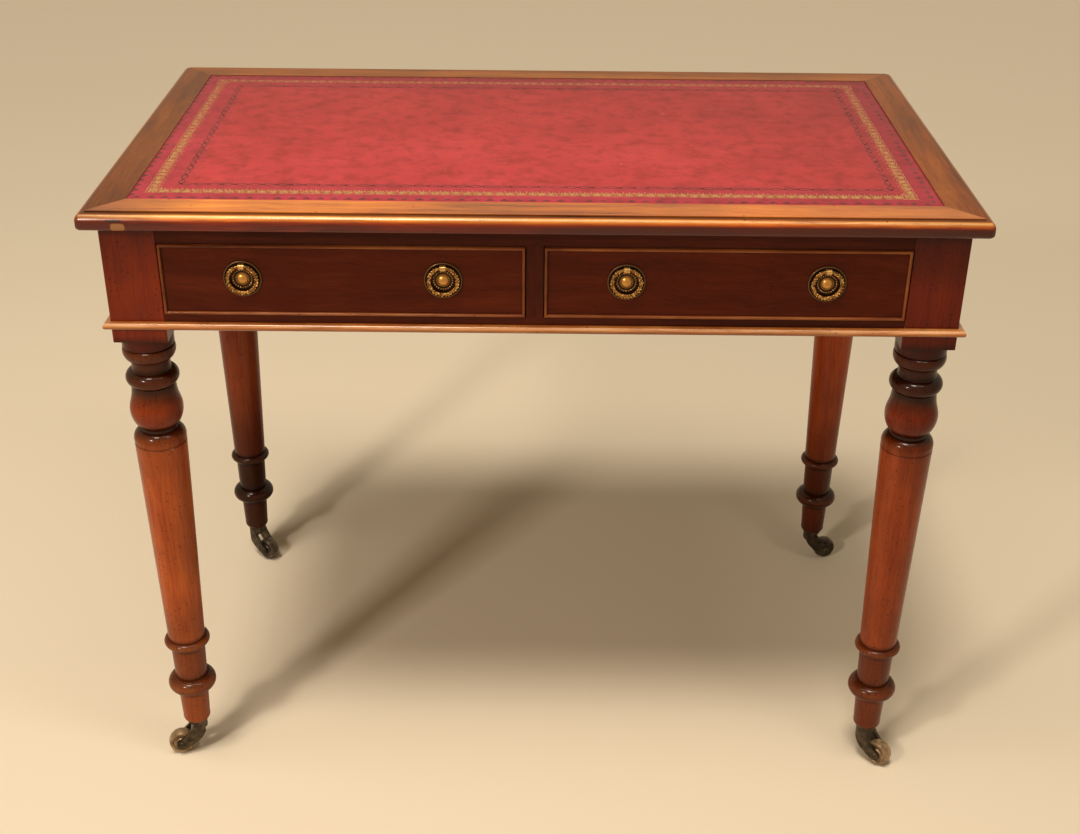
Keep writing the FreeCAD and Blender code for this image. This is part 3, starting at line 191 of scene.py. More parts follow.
def byLevel(levels, axis=2):  # grime, rubbing and fading: the tint at each level, in millimetres
    low, high = levels[0][0], levels[-1][0]
    stops = [((level - low) / (high - low), value) for level, value in levels]

    def zone(tree, place, colour):
        height = addNode(tree, "ShaderNodeSeparateXYZ", {0: place}).outputs[axis]
        along = addNode(tree, "ShaderNodeMapRange", {"Value": height, 1: low * mm, 2: high * mm})
        ramp = addNode(tree, "ShaderNodeValToRGB", {0: along}, stops)
        over = addNode(tree, "ShaderNodeMath", {0: height, 1: low * mm}, operation="GREATER_THAN")
        under = addNode(tree, "ShaderNodeMath", {0: height, 1: high * mm}, operation="LESS_THAN")
        within = addNode(tree, "ShaderNodeMath", {0: over, 1: under}, operation="MULTIPLY")
        return addNode(tree, "ShaderNodeMix", {0: within, 6: colour, 7: ramp}, **multiply).outputs[2]
    return zone


def patchAt(centre, half, hexText, strength):  # a soft-edged spot of another colour, in millimetres
    def zone(tree, place, colour):
        middle, reach = (tuple(v * mm for v in values) for values in (centre, half))
        away = addNode(tree, "ShaderNodeVectorMath", {0: place, 1: middle}, operation="SUBTRACT")
        scaled = addNode(tree, "ShaderNodeVectorMath", {0: away, 1: reach}, operation="DIVIDE")
        squared = addNode(tree, "ShaderNodeVectorMath", {0: scaled, 1: scaled}, operation="MULTIPLY")
        far = addNode(tree, "ShaderNodeVectorMath", {0: squared}, operation="LENGTH").outputs["Value"]
        share = addNode(tree, "ShaderNodeMapRange", {"Value": far, 1: 0.7, 2: 1.1, 3: strength, 4: 0.0})
        return addNode(tree, "ShaderNodeMix", {0: share, 6: colour, 7: hexText}, **cover).outputs[2]
    return zone


# legs: painted shade in every hollow of the turning, partly old polish too, and painted highlights on the
# swellings, where the polish is also rubbed thin
legShadeAndGrime = byLevel((
    (50, 0.3), (56, 0.9), (92, 1.0), (100, 0.2),  # foot
    (107, 0.55), (113, (0.75, 1.0, 1.7)), (121, 0.22), (128, 0.65), (160, 0.75), (167, 0.22),
    (174, (0.85, 1.1, 1.8)), (178, 0.3),  # the two rings, their crests rubbed and painted pale as highlights
    (184, 1.2), (330, 1.3), (440, 1.3), (449, 1.1), (450, 0.6), (453, 1.0), (461, 0.55),  # shaft
    (467, 0.12), (473, 0.12), (481, (0.68, 0.46, 0.27)), (498, (0.78, 0.52, 0.3)), (515, 0.3),  # vase
    (521, 0.1), (526, 0.26), (534, 0.22), (541, 0.07), (547, 0.22), (552, 0.16), (567, 0.32),
    (570.5, 0.1),  # collars under the block, painted shade
))
# leg blocks: a warmer tone, with painted shade at the collars under them and towards the top under the
# overhang
blockShadeAndTint = byLevel((
    (570.5, "#6E461E"), (576, "#805024"), (584, "#6E461E"), (592, "#BD8342"), (650, "#D79B54"),
    (690, "#BD8342"), (718, "#98622D"),
))
rightShade = byLevel(((300, "#D6C4B8"), (480, "#CCBAAE")), axis=0)  # painted shade: the front right leg darker and browner than the left
footShade = byLevel((  # painted shade on the rear legs: darker than the front ones, most of all low down
    (48, (0.165, 0.135, 0.12)), (170, (0.25, 0.21, 0.2)), (225, (0.36, 0.3, 0.29)), (255, (0.5, 0.42, 0.4)),
    (300, (0.62, 0.51, 0.47)), (420, (0.68, 0.55, 0.5)), (560, (0.75, 0.6, 0.55)),
))
rearLight = byLevel(((-460, 0.72), (-380, 0.72), (380, 1.38), (460, 1.38)), axis=0)  # painted light and shade: the rear left leg darker, the rear right lighter
edgeShadeAndHighlight = byLevel((  # front moulding: painted shade under the lip, a painted highlight on the crest, where the polish is also rubbed pale, dark in the quirk
    (717, "#642A2A"), (719, "#7E3C3A"), (725, "#843F3E"), (726.6, "#904E48"), (728.4, "#AC7260"),
    (730.6, 0.9), (732.2, (1.2, 2.1, 7.0)), (733.2, (1.35, 2.7, 10.0)), (733.8, 0.8), (734.2, 0.22),
    (734.8, 0.2), (735.4, 0.75), (736.4, 1.0),
))
# side mouldings: painted shade under the lip, a painted highlight along the crest, darker in the quirk
sideEdgeShadeAndHighlight = byLevel((
    (717, 0.3), (719, 0.5), (725, 0.6), (726.6, 0.8), (728.4, 1.0), (731, 1.5), (733.6, 1.8), (734.3, 0.6),
    (735.4, 0.9), (736.4, 1.0),
))
frontPaintedLight = byLevel((  # painted light along the front: brightest left of the middle, darkest at the left end
    (-470, 0.55), (-425, 0.75), (-375, (1.25, 1.4, 1.4)), (-330, (1.5, 1.75, 1.75)),
    (-180, (1.2, 1.3, 1.3)), (-60, 0.92), (90, 0.86), (260, 1.08), (470, 0.9),
), axis=0)
sideLight = byLevel((  # left band browner, right band paler
    (-470, (0.86, 0.8, 0.7)), (-400, (0.86, 0.8, 0.7)), (400, (1.25, 1.1, 0.98)), (470, (1.25, 1.1, 0.98)),
), axis=0)
beadHighlightAndShade = byLevel((  # painted highlight on the crest of the bead, partly rubbed polish, and painted shade under it
    (600.5, 0.55), (603, 0.7), (605, 1.0), (606.6, (1.5, 2.2, 4.5)), (607.6, (1.6, 2.5, 6.0)),
    (608.4, (1.1, 1.3, 1.6)), (609.5, 0.7),
))
lipShadow = patchAt((270, -267, 720.5), (270, 14, 8.0), "#3C0F06", 0.75)  # painted shade under the lip along the right half
letInChip = patchAt((-420.6, -267, 721.5), (7.4, 6, 4.6), "#A8713C", 0.8)  # a repair in paler wood
bruise = patchAt((-424.5, -265, 728.4), (8.5, 6, 1.5), "#2A1B16", 0.85)  # ink in the moulding above it

woods = {
    # front band: paler and more orange than the other bands, painted light for the sheen the front catches,
    # with painted highlight and shade along its moulding
    "front_band": {
        "grain": "x", "dark": "#8E400A", "mid": "#D26B1C", "light": "#E88326", "rough": (0.24, 0.42),
        "coat": 0.85, "coatBlur": 0.18, "zones": (edgeShadeAndHighlight, frontPaintedLight, lipShadow, letInChip, bruise),
    },
    # back and side bands: faded to a plain nut brown, their polish half worn away
    "back_band": {
        "grain": "x", "dark": "#763C0F", "mid": "#9C531C", "light": "#B46A2A", "rough": (0.24, 0.42),
        "coat": 0.25, "zones": (edgeShadeAndHighlight,),
    },
    "side_band": {
        "grain": "y", "dark": "#602D0A", "mid": "#824212", "light": "#98561F", "rough": (0.24, 0.42),
        "coat": 0.25, "zones": (sideEdgeShadeAndHighlight, sideLight),
    },
    # drawer fronts: dark red-brown with a quiet wandering figure
    "drawer_front": {
        "grain": "x", "dark": "#481606", "mid": "#531B08", "light": "#5F220C", "rough": (0.26, 0.4),
        "coat": 0.08, "sway": 35.0, "dents": 0.015, "patina": 0.4,
    },
    # rails and divider: shaded by the top, so nearly black-brown
    "rail": {
        "grain": "x", "dark": "#3A1106", "mid": "#481708", "light": "#551E0B", "rough": (0.28, 0.42),
        "coat": 0.1, "dents": 0.02,
    },
    "upright": {
        "grain": "z", "dark": "#3A1106", "mid": "#481708", "light": "#551E0B", "rough": (0.28, 0.42),
        "coat": 0.1, "dents": 0.02,
    },
    # side aprons: the same timber with a little more red in it
    "side_apron": {
        "grain": "y", "dark": "#4E1D0A", "mid": "#6C290E", "light": "#803615", "rough": (0.28, 0.42),
        "coat": 0.2,
    },
    # beads: a painted highlight on the crest, where the polish is also rubbed pale, and painted shade below
    # it
    "bead": {
        "grain": "xy", "dark": "#7E3E15", "mid": "#AE6229", "light": "#C88040", "rough": (0.22, 0.36),
        "coat": 1.0, "coatBlur": 0.12, "dents": 0.2, "zones": (beadHighlightAndShade,),
    },
    "cock_bead": {
        "grain": "xz", "dark": "#522510", "mid": "#824421", "light": "#A26032", "rough": (0.25, 0.4),
        "coat": 0.3,
    },
    # legs: warm red-brown with long straight fibres and many small knocks
    "leg": {
        "grain": "z", "dark": "#883710", "mid": "#9C4719", "light": "#A95420", "rough": (0.22, 0.38),
        "coat": 0.32, "coatBlur": 0.12, "dents": 0.5, "patina": 0.9,
        "zones": (legShadeAndGrime, blockShadeAndTint, rightShade),
    },
    # rear legs: the same wood as the front ones, with painted shade
    "leg_rear": {
        "grain": "z", "dark": "#883710", "mid": "#9C4719", "light": "#A95420", "rough": (0.22, 0.38),
        "coat": 0.25, "coatBlur": 0.12, "dents": 0.2, "patina": 0.9,
        "zones": (legShadeAndGrime, blockShadeAndTint, footShade, rearLight),
    },
    # drawer linings: planed hardwood left bare, dry and matt with a brown cast of age
    "lining": {
        "grain": "y", "dark": "#7A5230", "mid": "#9C7145", "light": "#B58A5A", "rough": (0.6, 0.75),
        "coat": 0.0,
    },
    "lining_cross": {
        "grain": "x", "dark": "#7A5230", "mid": "#9C7145", "light": "#B58A5A", "rough": (0.6, 0.75),
        "coat": 0.0,
    },
    # pine out of sight: sawn and bare, yellow-brown with strong streaks
    "pine": {
        "grain": "y", "dark": "#8A6236", "mid": "#A87C4A", "light": "#BE955F", "rough": (0.65, 0.8),
        "coat": 0.0,
    },
    "pine_cross": {
        "grain": "x", "dark": "#8A6236", "mid": "#A87C4A", "light": "#BE955F", "rough": (0.65, 0.8),
        "coat": 0.0,
    },
}
woodMaterials = {}
for key, spec in woods.items():
    kind = "bare_wood_" if spec["coat"] == 0 else "polished_mahogany_"
    woodMaterials[key] = woodFinish(kind + key, spec)
print("woods made:", len(woodMaterials))


# metals: cast brass, lacquer long gone, is brown where nothing touches it and yellow where hands rub it
castPits = {"size": 1.1, "bump": 0.2, "deep": 0.3}  # real pits are near 0.2 mm, drawn coarse to show


def brassFinish(name, spec):
    material, tree = newMaterial(name)
    place = addNode(tree, "ShaderNodeTexCoord").outputs["Object"]
    tarnish = addNode(tree, "ShaderNodeTexNoise", {
        "Vector": place, "Scale": 1 / (spec["patch"] * mm), "Detail": 4.0,
    })
    stops = list(zip(spec.get("at", (0.3, 0.5, 0.68)), (spec["dark"], spec["mid"], spec["light"])))
    colour = addNode(tree, "ShaderNodeValToRGB", {0: tarnish}, stops)
    for zone in spec.get("zones", ()):
        colour = zone(tree, place, colour)
    shiny, dull = spec["rough"]
    rough = addNode(tree, "ShaderNodeMapRange", {"Value": tarnish, 1: 0.3, 2: 0.7, 3: dull, 4: shiny})
    pits = addNode(tree, "ShaderNodeTexNoise", {
        "Vector": place, "Scale": 1 / (castPits["size"] * mm), "Detail": 2.0,
    })
    relief = addNode(tree, "ShaderNodeBump", {
        "Height": pits, "Strength": castPits["bump"], "Distance": castPits["deep"] * mm,
    })
    shader = addNode(tree, "ShaderNodeBsdfPrincipled", {
        "Base Color": colour, "Metallic": spec["metal"], "Roughness": rough, "Normal": relief,
    })
    addNode(tree, "ShaderNodeOutputMaterial", {"Surface": shader})
    return material


pull = {  # where the four ring pulls sit and what is chased on them, in millimetres
    "across": (95.0, 303.0), "height": 659.75, "plate": 20.0, "plateFront": -250.7, "ringFront": -254.5,
    "beads": 24, "beadCircle": 9.9, "bead": 1.0,
    "leaves": 26, "leafCircle": 15.0, "leaf": 1.55, "open": 0.46, "slant": 0.6,  # the last two in radians
    "blade": (1.3, 0.36, 0.48), "rowApart": 0.66,  # shares of the leaf's size
}


def boss(tree, place, colour):  # rubbed dome, black field and worn rim of each backplate
    axes = addNode(tree, "ShaderNodeSeparateXYZ", {0: place}).outputs
    fold = addNode(tree, "ShaderNodeMath", {0: axes[0]}, operation="ABSOLUTE")
    inner, outer = (x * mm for x in pull["across"])
    for half in ((outer + inner) / 2, (outer - inner) / 2):  # folds the four plates onto one
        fold = addNode(tree, "ShaderNodeMath", {0: fold, 1: half}, operation="SUBTRACT")
        fold = addNode(tree, "ShaderNodeMath", {0: fold}, operation="ABSOLUTE")
    rise = addNode(tree, "ShaderNodeMath", {0: axes[2], 1: pull["height"] * mm}, operation="SUBTRACT")
    flat = addNode(tree, "ShaderNodeCombineXYZ", {0: fold, 1: rise})
    away = addNode(tree, "ShaderNodeVectorMath", {0: flat}, operation="LENGTH").outputs["Value"]
    along = addNode(tree, "ShaderNodeMapRange", {"Value": away, 1: 0.0, 2: pull["plate"] * mm})
    stops = ((0.0, "#D39A50"), (0.31, "#D39A50"), (0.36, "#24180F"), (0.92, "#24180F"), (0.96, "#785A3C"),
             (1.0, "#64492F"))
    rings = addNode(tree, "ShaderNodeValToRGB", {0: along}, stops)
    return addNode(tree, "ShaderNodeMix", {0: 0.85, 6: colour, 7: rings}, **cover).outputs[2]


metals = {  # patch is the size of the tarnish in millimetres
    # leaves on the rings: every high place bright, every hollow brown
    "pull": {"dark": "#56321A", "mid": "#A87438", "light": "#E2B468", "at": (0.4, 0.49, 0.6), "patch": 2.4,
             "rough": (0.22, 0.36), "metal": 0.85},
    # rings: smooth, browner than the leaves they carry
    "ring": {"dark": "#573A1E", "mid": "#8E6534", "light": "#B58A4E", "patch": 2.4, "rough": (0.24, 0.38),
             "metal": 0.85},
    # eyebolts: the cleanest brass on the table, pale yellow
    "lug": {"dark": "#B08244", "mid": "#D0A562", "light": "#E4BF80", "patch": 2.4, "rough": (0.24, 0.34),
            "metal": 0.8},
    "beads": {"dark": "#6E4A2C", "mid": "#AA7B4C", "light": "#D2A470", "patch": 2.4, "rough": (0.28, 0.4),
              "metal": 0.85},
    # backplates: blackened by old polish round the dome
    "plate": {"dark": "#2A1A10", "mid": "#4A3018", "light": "#6E4A24", "patch": 4.5, "rough": (0.28, 0.42),
              "metal": 0.85, "zones": (boss,)},
    # castors: floor dirt and dark lacquer on the horns, brighter where the wheels run
    "castor": {"dark": "#2C2620", "mid": "#463C30", "light": "#605342", "patch": 8.3, "rough": (0.28, 0.42),
               "metal": 0.85},
    "wheel": {"dark": "#68563F", "mid": "#937757", "light": "#B59874", "patch": 8.3, "rough": (0.28, 0.42),
              "metal": 0.4},
    # rear wheels: the same brass darkened, painted shade
    "wheel_rear_shaded": {"dark": "#2E2620", "mid": "#463A2E", "light": "#5E4F3E", "patch": 8.3,
                   "rough": (0.3, 0.45), "metal": 0.4},
    # screws: mild steel gone grey
    "steel": {"dark": "#2C2A28", "mid": "#4A4744", "light": "#66625E", "patch": 3.3, "rough": (0.4, 0.6),
              "metal": 0.9},
}
metalMaterials = {}
for key, spec in metals.items():
    metalMaterials[key] = brassFinish(("dulled_steel_" if key == "steel" else "aged_brass_") + key, spec)
print("metals made:", len(metalMaterials))


# CAD nodes that keep their shape and get their finish
def dress(material, *names):
    for name in names:
        nodes[name].data.materials.clear()
        nodes[name].data.materials.append(material)


dress(woodMaterials["rail"], "rail_above_drawers", "rail_below_drawers", "apron_back")
dress(woodMaterials["upright"], "drawer_divider")
dress(woodMaterials["side_apron"], "apron_left", "apron_right")
dress(woodMaterials["bead"], "frieze_beads")
dress(woodMaterials["leg"], "leg_front_left", "leg_front_right")
dress(woodMaterials["leg_rear"], "leg_rear_left", "leg_rear_right")
dress(woodMaterials["pine_cross"], "top_core_panel", "glue_blocks", "drawer_stops")
dress(woodMaterials["pine"], "drawer_runners", "drawer_guides", "drawer_kickers")
dress(metalMaterials["steel"], "top_screws", "castor_screws")
dress(metalMaterials["castor"], "castor_plates")
for corner in corners:
    dress(metalMaterials["castor"], "castor_horn_" + corner, "castor_axle_" + corner)
    dress(metalMaterials["wheel" if "front" in corner else "wheel_rear_shaded"], "castor_wheel_" + corner)
for hand in hands:
    drawer = "drawer_" + hand
    dress(woodMaterials["drawer_front"], drawer + "_front")
    dress(woodMaterials["cock_bead"], drawer + "_cock_bead")
    dress(woodMaterials["lining"], drawer + "_side_inner", drawer + "_side_outer")
    dress(woodMaterials["lining_cross"], drawer + "_back", drawer + "_bottom")
    dress(metalMaterials["plate"], drawer + "_handle_plates")
    dress(metalMaterials["lug"], drawer + "_handle_eyebolts", drawer + "_handle_nuts")
    dress(metalMaterials["ring"], *("ring_pull_%s_%s" % (hand, side) for side in sides))
print("CAD nodes dressed")


# bands of the top: the CAD bands with their outer corners eased by handling, as worn mitres are
ease = {
    "radius": 6.5, "cuts": (0.4, 0.9, 1.5, 2.2, 3.0, 4.0, 5.2, 6.5),  # millimetres
    "sharp": 32, "slope": (0.01, 0.999),  # degrees, and the faces that count as moulding
}
bands = {"front": "front_band", "back": "back_band", "left": "side_band", "right": "side_band"}
topHalf = [max(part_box("top_band_" + name)[1][axis] for name in bands) for axis in range(2)]


def easedCorner(co):  # squares round the corner become circles
    radius = ease["radius"] * mm
    u, v = abs(co.x) - topHalf[0] + radius, abs(co.y) - topHalf[1] + radius
    if u > 0 and v > 0:
        keep = max(u, v) / math.hypot(u, v)
        co.x = math.copysign(topHalf[0] - radius + u * keep, co.x)
        co.y = math.copysign(topHalf[1] - radius + v * keep, co.y)


for name, finish in bands.items():
    band = bmesh.new()
    band.from_mesh(nodes["top_band_" + name].data)
    bmesh.ops.remove_doubles(band, verts=band.verts, dist=1e-6)
    axis = 1 if finish == "side_band" else 0
    for end in (-1, 1):
        for cut in ease["cuts"]:
            level, across = Vector((0.0, 0.0, 0.0)), Vector((0.0, 0.0, 0.0))
            level[axis], across[axis] = end * (topHalf[axis] - cut * mm), 1.0
            bmesh.ops.bisect_plane(band, geom=band.verts[:] + band.edges[:] + band.faces[:], dist=1e-7,
                                   plane_co=level, plane_no=across)
    for vert in band.verts:
        easedCorner(vert.co)
    bmesh.ops.recalc_face_normals(band, faces=band.faces)
    for face in band.faces:  # level and upright faces stay flat, the moulding is smooth
        face.smooth = ease["slope"][0] < abs(face.normal.z) < ease["slope"][1]
    mesh = bpy.data.meshes.new("moulded_band_" + name)
    band.to_mesh(mesh)
    band.free()
    mesh.attributes.remove(mesh.attributes["custom_normal"])  # kept from the import, false once cut
    mesh.set_sharp_from_angle(angle=math.radians(ease["sharp"]))
    mesh.materials.append(woodMaterials[finish])
    piece = shown("moulded_band_" + name, mesh)
    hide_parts("top_band_" + name)
    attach(piece, "frame")
print("bands eased")


# leather skin: a fine grid, a little uneven, rolled down at the rim
hide = {
    "step": 4.0, "sink": 0.12, "waves": 143.0, "roll": 0.3,  # millimetres
    "dark": "#A02E34", "mid": "#B2353B", "light": "#C33F44", "scuff": "#D98F7C",
    "clouds": 125.0, "mottle": 21.0, "scuffs": 31.0,  # sizes of its marks in millimetres
    "pebble": 1.4,  # real grain is near 0.7 mm, drawn coarse so that it shows
    "rim": (20.0, 60.0), "rimTint": (0.84, 0.8, 1.2),  # the border has kept more of its purple
    "backFade": ((-220.0, 220.0), (1.2, 0.86)),  # paler at the front edge, where arms rest
    "rightFade": ((100.0, 420.0), (1.0, 0.86)),
    "speck": (0.6, 1.5), "speckShare": 0.2,  # radius of a speck, and the share of the places that have one
    "speckShow": 0.7, "mottleShow": 0.8, "bump": 0.18, "bumpDeep": 0.5,  # the depth is in millimetres
    "rough": 0.46, "shine": 0.25,
}
hideLow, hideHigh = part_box("writing_leather")
hideLong, hideShort = hideHigh.x - hideLow.x, hideHigh.y - hideLow.y


def hideDrop(x, y):  # how far the skin lies under its highest level
    waves = hide["waves"] * mm
    return hide["sink"] * mm * (0.5 + 0.5 * noise.noise(Vector((x / waves, y / waves, 3.1))))


def gridLine(low, high):
    count = round((high - low) / (hide["step"] * mm))
    return [low + (high - low) * i / count for i in range(count + 1)]


skin = bmesh.new()
xs, ys = gridLine(hideLow.x, hideHigh.x), gridLine(hideLow.y, hideHigh.y)
upper = []
for j, y in enumerate(ys):
    row = []
    for i, x in enumerate(xs):
        atRim = i in (0, len(xs) - 1) or j in (0, len(ys) - 1)
        row.append(skin.verts.new((x, y, hideHigh.z - hideDrop(x, y) - atRim * hide["roll"] * mm)))
    upper.append(row)
for j in range(len(ys) - 1):
    for i in range(len(xs) - 1):
        skin.faces.new((upper[j][i], upper[j][i + 1], upper[j + 1][i + 1], upper[j + 1][i]))
rimLoop = upper[0] + [row[-1] for row in upper[1:]] + upper[-1][-2::-1] + [row[0] for row in upper[-2:0:-1]]
lower = [skin.verts.new((v.co.x, v.co.y, hideLow.z)) for v in rimLoop]
middle = skin.verts.new(((hideLow.x + hideHigh.x) / 2, (hideLow.y + hideHigh.y) / 2, hideLow.z))
for i in range(len(rimLoop)):
    k = (i + 1) % len(rimLoop)
    skin.faces.new((rimLoop[k], rimLoop[i], lower[i], lower[k]))
    skin.faces.new((lower[k], lower[i], middle))
for face in skin.faces:
    face.smooth = True
hideMesh = bpy.data.meshes.new("leather_skin")
skin.to_mesh(hideMesh)
skin.free()
leather = shown("leather_skin", hideMesh)
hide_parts("writing_leather")
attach(leather, "frame")

# dyed calf: crimson that has browned in clouds, is rubbed paler along the front and is specked by use
material, tree = newMaterial("dyed_crimson_leather")
place = addNode(tree, "ShaderNodeTexCoord").outputs["Object"]
at = addNode(tree, "ShaderNodeSeparateXYZ", {0: place}).outputs
cloud = addNode(tree, "ShaderNodeTexNoise", {
    "Vector": place, "Scale": 1 / (hide["clouds"] * mm), "Detail": 8.0, "Roughness": 0.72,
})
stops = ((0.25, hide["dark"]), (0.48, hide["mid"]), (0.71, hide["light"]))
colour = addNode(tree, "ShaderNodeValToRGB", {0: cloud}, stops)
for axis, key in ((1, "backFade"), (0, "rightFade")):
    (start, end), (first, last) = hide[key]
    fade = addNode(tree, "ShaderNodeMapRange", {
        "Value": at[axis], 1: start * mm, 2: end * mm, 3: first, 4: last,
    })
    colour = addNode(tree, "ShaderNodeMix", {0: 1.0, 6: colour, 7: fade}, **multiply).outputs[2]
mottle = addNode(tree, "ShaderNodeTexNoise", {
    "Vector": place, "Scale": 1 / (hide["mottle"] * mm), "Detail": 4.0, "Roughness": 0.65,
})
worn = addNode(tree, "ShaderNodeValToRGB", {0: mottle}, ((0.3, "#C8B8B0"), (0.55, 1.0), (0.72, "#FFF0E8")))
colour = addNode(tree, "ShaderNodeMix", {0: hide["mottleShow"], 6: colour, 7: worn}, **multiply).outputs[2]
marks = addNode(tree, "ShaderNodeTexVoronoi", {"Vector": place, "Scale": 1 / (hide["scuffs"] * mm)}).outputs
small, large = (r / hide["scuffs"] for r in hide["speck"])
speck = addNode(tree, "ShaderNodeMapRange", {
    "Value": marks["Distance"], 1: small, 2: large, 3: hide["speckShow"], 4: 0.0,
})
pick = addNode(tree, "ShaderNodeSeparateColor", {0: marks["Color"]})
few = addNode(tree, "ShaderNodeMath", {0: pick, 1: 1 - hide["speckShare"]}, operation="GREATER_THAN")
speck = addNode(tree, "ShaderNodeMath", {0: speck, 1: few}, operation="MULTIPLY")
colour = addNode(tree, "ShaderNodeMix", {0: speck, 6: colour, 7: hide["scuff"]}, **cover).outputs[2]
out = addNode(tree, "ShaderNodeVectorMath", {0: place}, operation="ABSOLUTE")
halves = (hideLong / 2, hideShort / 2, 0.0)
inside = addNode(tree, "ShaderNodeVectorMath", {0: halves, 1: out}, operation="SUBTRACT")
inside = addNode(tree, "ShaderNodeSeparateXYZ", {0: inside}).outputs
nearest = addNode(tree, "ShaderNodeMath", {0: inside[0], 1: inside[1]}, operation="MINIMUM")
start, end = hide["rim"]
rim = addNode(tree, "ShaderNodeMapRange", {"Value": nearest, 1: start * mm, 2: end * mm, 3: 1.0, 4: 0.0})
rimTint = tint(hide["rimTint"])
colour = addNode(tree, "ShaderNodeMix", {0: rim, 6: colour, 7: rimTint}, **multiply).outputs[2]
pebble = addNode(tree, "ShaderNodeTexVoronoi", {"Vector": place, "Scale": 1 / (hide["pebble"] * mm)})
relief = addNode(tree, "ShaderNodeBump", {
    "Height": pebble, "Strength": hide["bump"], "Distance": hide["bumpDeep"] * mm,
})
shader = addNode(tree, "ShaderNodeBsdfPrincipled", {
    "Base Color": colour, "Roughness": hide["rough"], "Specular IOR Level": hide["shine"], "Normal": relief,
})
addNode(tree, "ShaderNodeOutputMaterial", {"Surface": shader})
hideMesh.materials.append(material)
print("leather laid")


# tooling: rows of stamps pressed round the leather, each row one node tree run on one stamp
def leaf(x, y, long, wide, angle):  # a pointed leaf that grows from x, y
    half = [(0.0, 0.0), (0.3, 0.42), (0.6, 0.5), (0.85, 0.28), (1.0, 0.0)]
    outline = [(a * long, b * wide) for a, b in half] + [(a * long, -b * wide) for a, b in half[-2:0:-1]]
    c, s = math.cos(math.radians(angle)), math.sin(math.radians(angle))
    return [(x + c * a - s * b, y + s * a + c * b) for a, b in outline]


def dot(x, y, r):
    return [(x + r * math.cos(math.pi * k / 3), y + r * math.sin(math.pi * k / 3)) for k in range(6)]


def strip(points, wide):  # a line of even width
    edges = ([], [])
    for i, (x, y) in enumerate(points):
        (ax, ay), (bx, by) = points[max(i - 1, 0)], points[min(i + 1, len(points) - 1)]
        along = math.hypot(bx - ax, by - ay)
        nx, ny = -(by - ay) / along * wide / 2, (bx - ax) / along * wide / 2
        edges[0].append((x + nx, y + ny))
        edges[1].append((x - nx, y - ny))
    return edges[0] + edges[1][::-1]


def festoon(start, end, drop, count=7):  # a shallow hanging curve
    spread = [i / (count - 1) for i in range(count)]
    return [(start + (end - start) * t, -drop * 4 * t * (1 - t)) for t in spread]


def stamped(name, outlines, thick):  # flat outlines in millimetres, made into thin closed prisms
    shape = bmesh.new()
    for outline in outlines:
        low = [shape.verts.new((x * mm, y * mm, 0.0)) for x, y in outline]
        high = [shape.verts.new((x * mm, y * mm, thick * mm)) for x, y in outline]
        shape.faces.new(low)
        shape.faces.new(high)
        for i in range(len(low)):
            k = (i + 1) % len(low)
            shape.faces.new((low[i], low[k], high[k], high[i]))
    bmesh.ops.recalc_face_normals(shape, faces=shape.faces)
    mesh = bpy.data.meshes.new(name)
    shape.to_mesh(mesh)
    shape.free()
    return mesh


def newTree(name, sockets):
    tree = bpy.data.node_groups.new(name, "GeometryNodeTree")
    tree.interface.new_socket(name="Geometry", in_out="INPUT", socket_type="NodeSocketGeometry")
    for label, kind in sockets.items():
        tree.interface.new_socket(name=label, in_out="INPUT", socket_type="NodeSocket" + kind)
    tree.interface.new_socket(name="Geometry", in_out="OUTPUT", socket_type="NodeSocketGeometry")
    return tree, addNode(tree, "NodeGroupInput").outputs


def endTree(tree, shape, finish):
    real = addNode(tree, "GeometryNodeRealizeInstances", {"Geometry": shape})
    done = addNode(tree, "GeometryNodeSetMaterial", {"Geometry": real, "Material": finish})
    addNode(tree, "NodeGroupOutput", {0: done})


def grown(name, seed, tree, values):  # runs a node tree on a mesh and keeps the plain result
    piece = shown(name, seed)
    modifier = piece.modifiers.new("grow", "NODES")
    modifier.node_group = tree
    for item in tree.interface.items_tree:
        if item.in_out == "INPUT" and item.name in values:
            modifier[item.identifier] = values[item.name]
    mesh = bpy.data.meshes.new_from_object(piece.evaluated_get(bpy.context.evaluated_depsgraph_get()))
    mesh.name = name
    piece.modifiers.clear()
    piece.data = mesh
    return piece


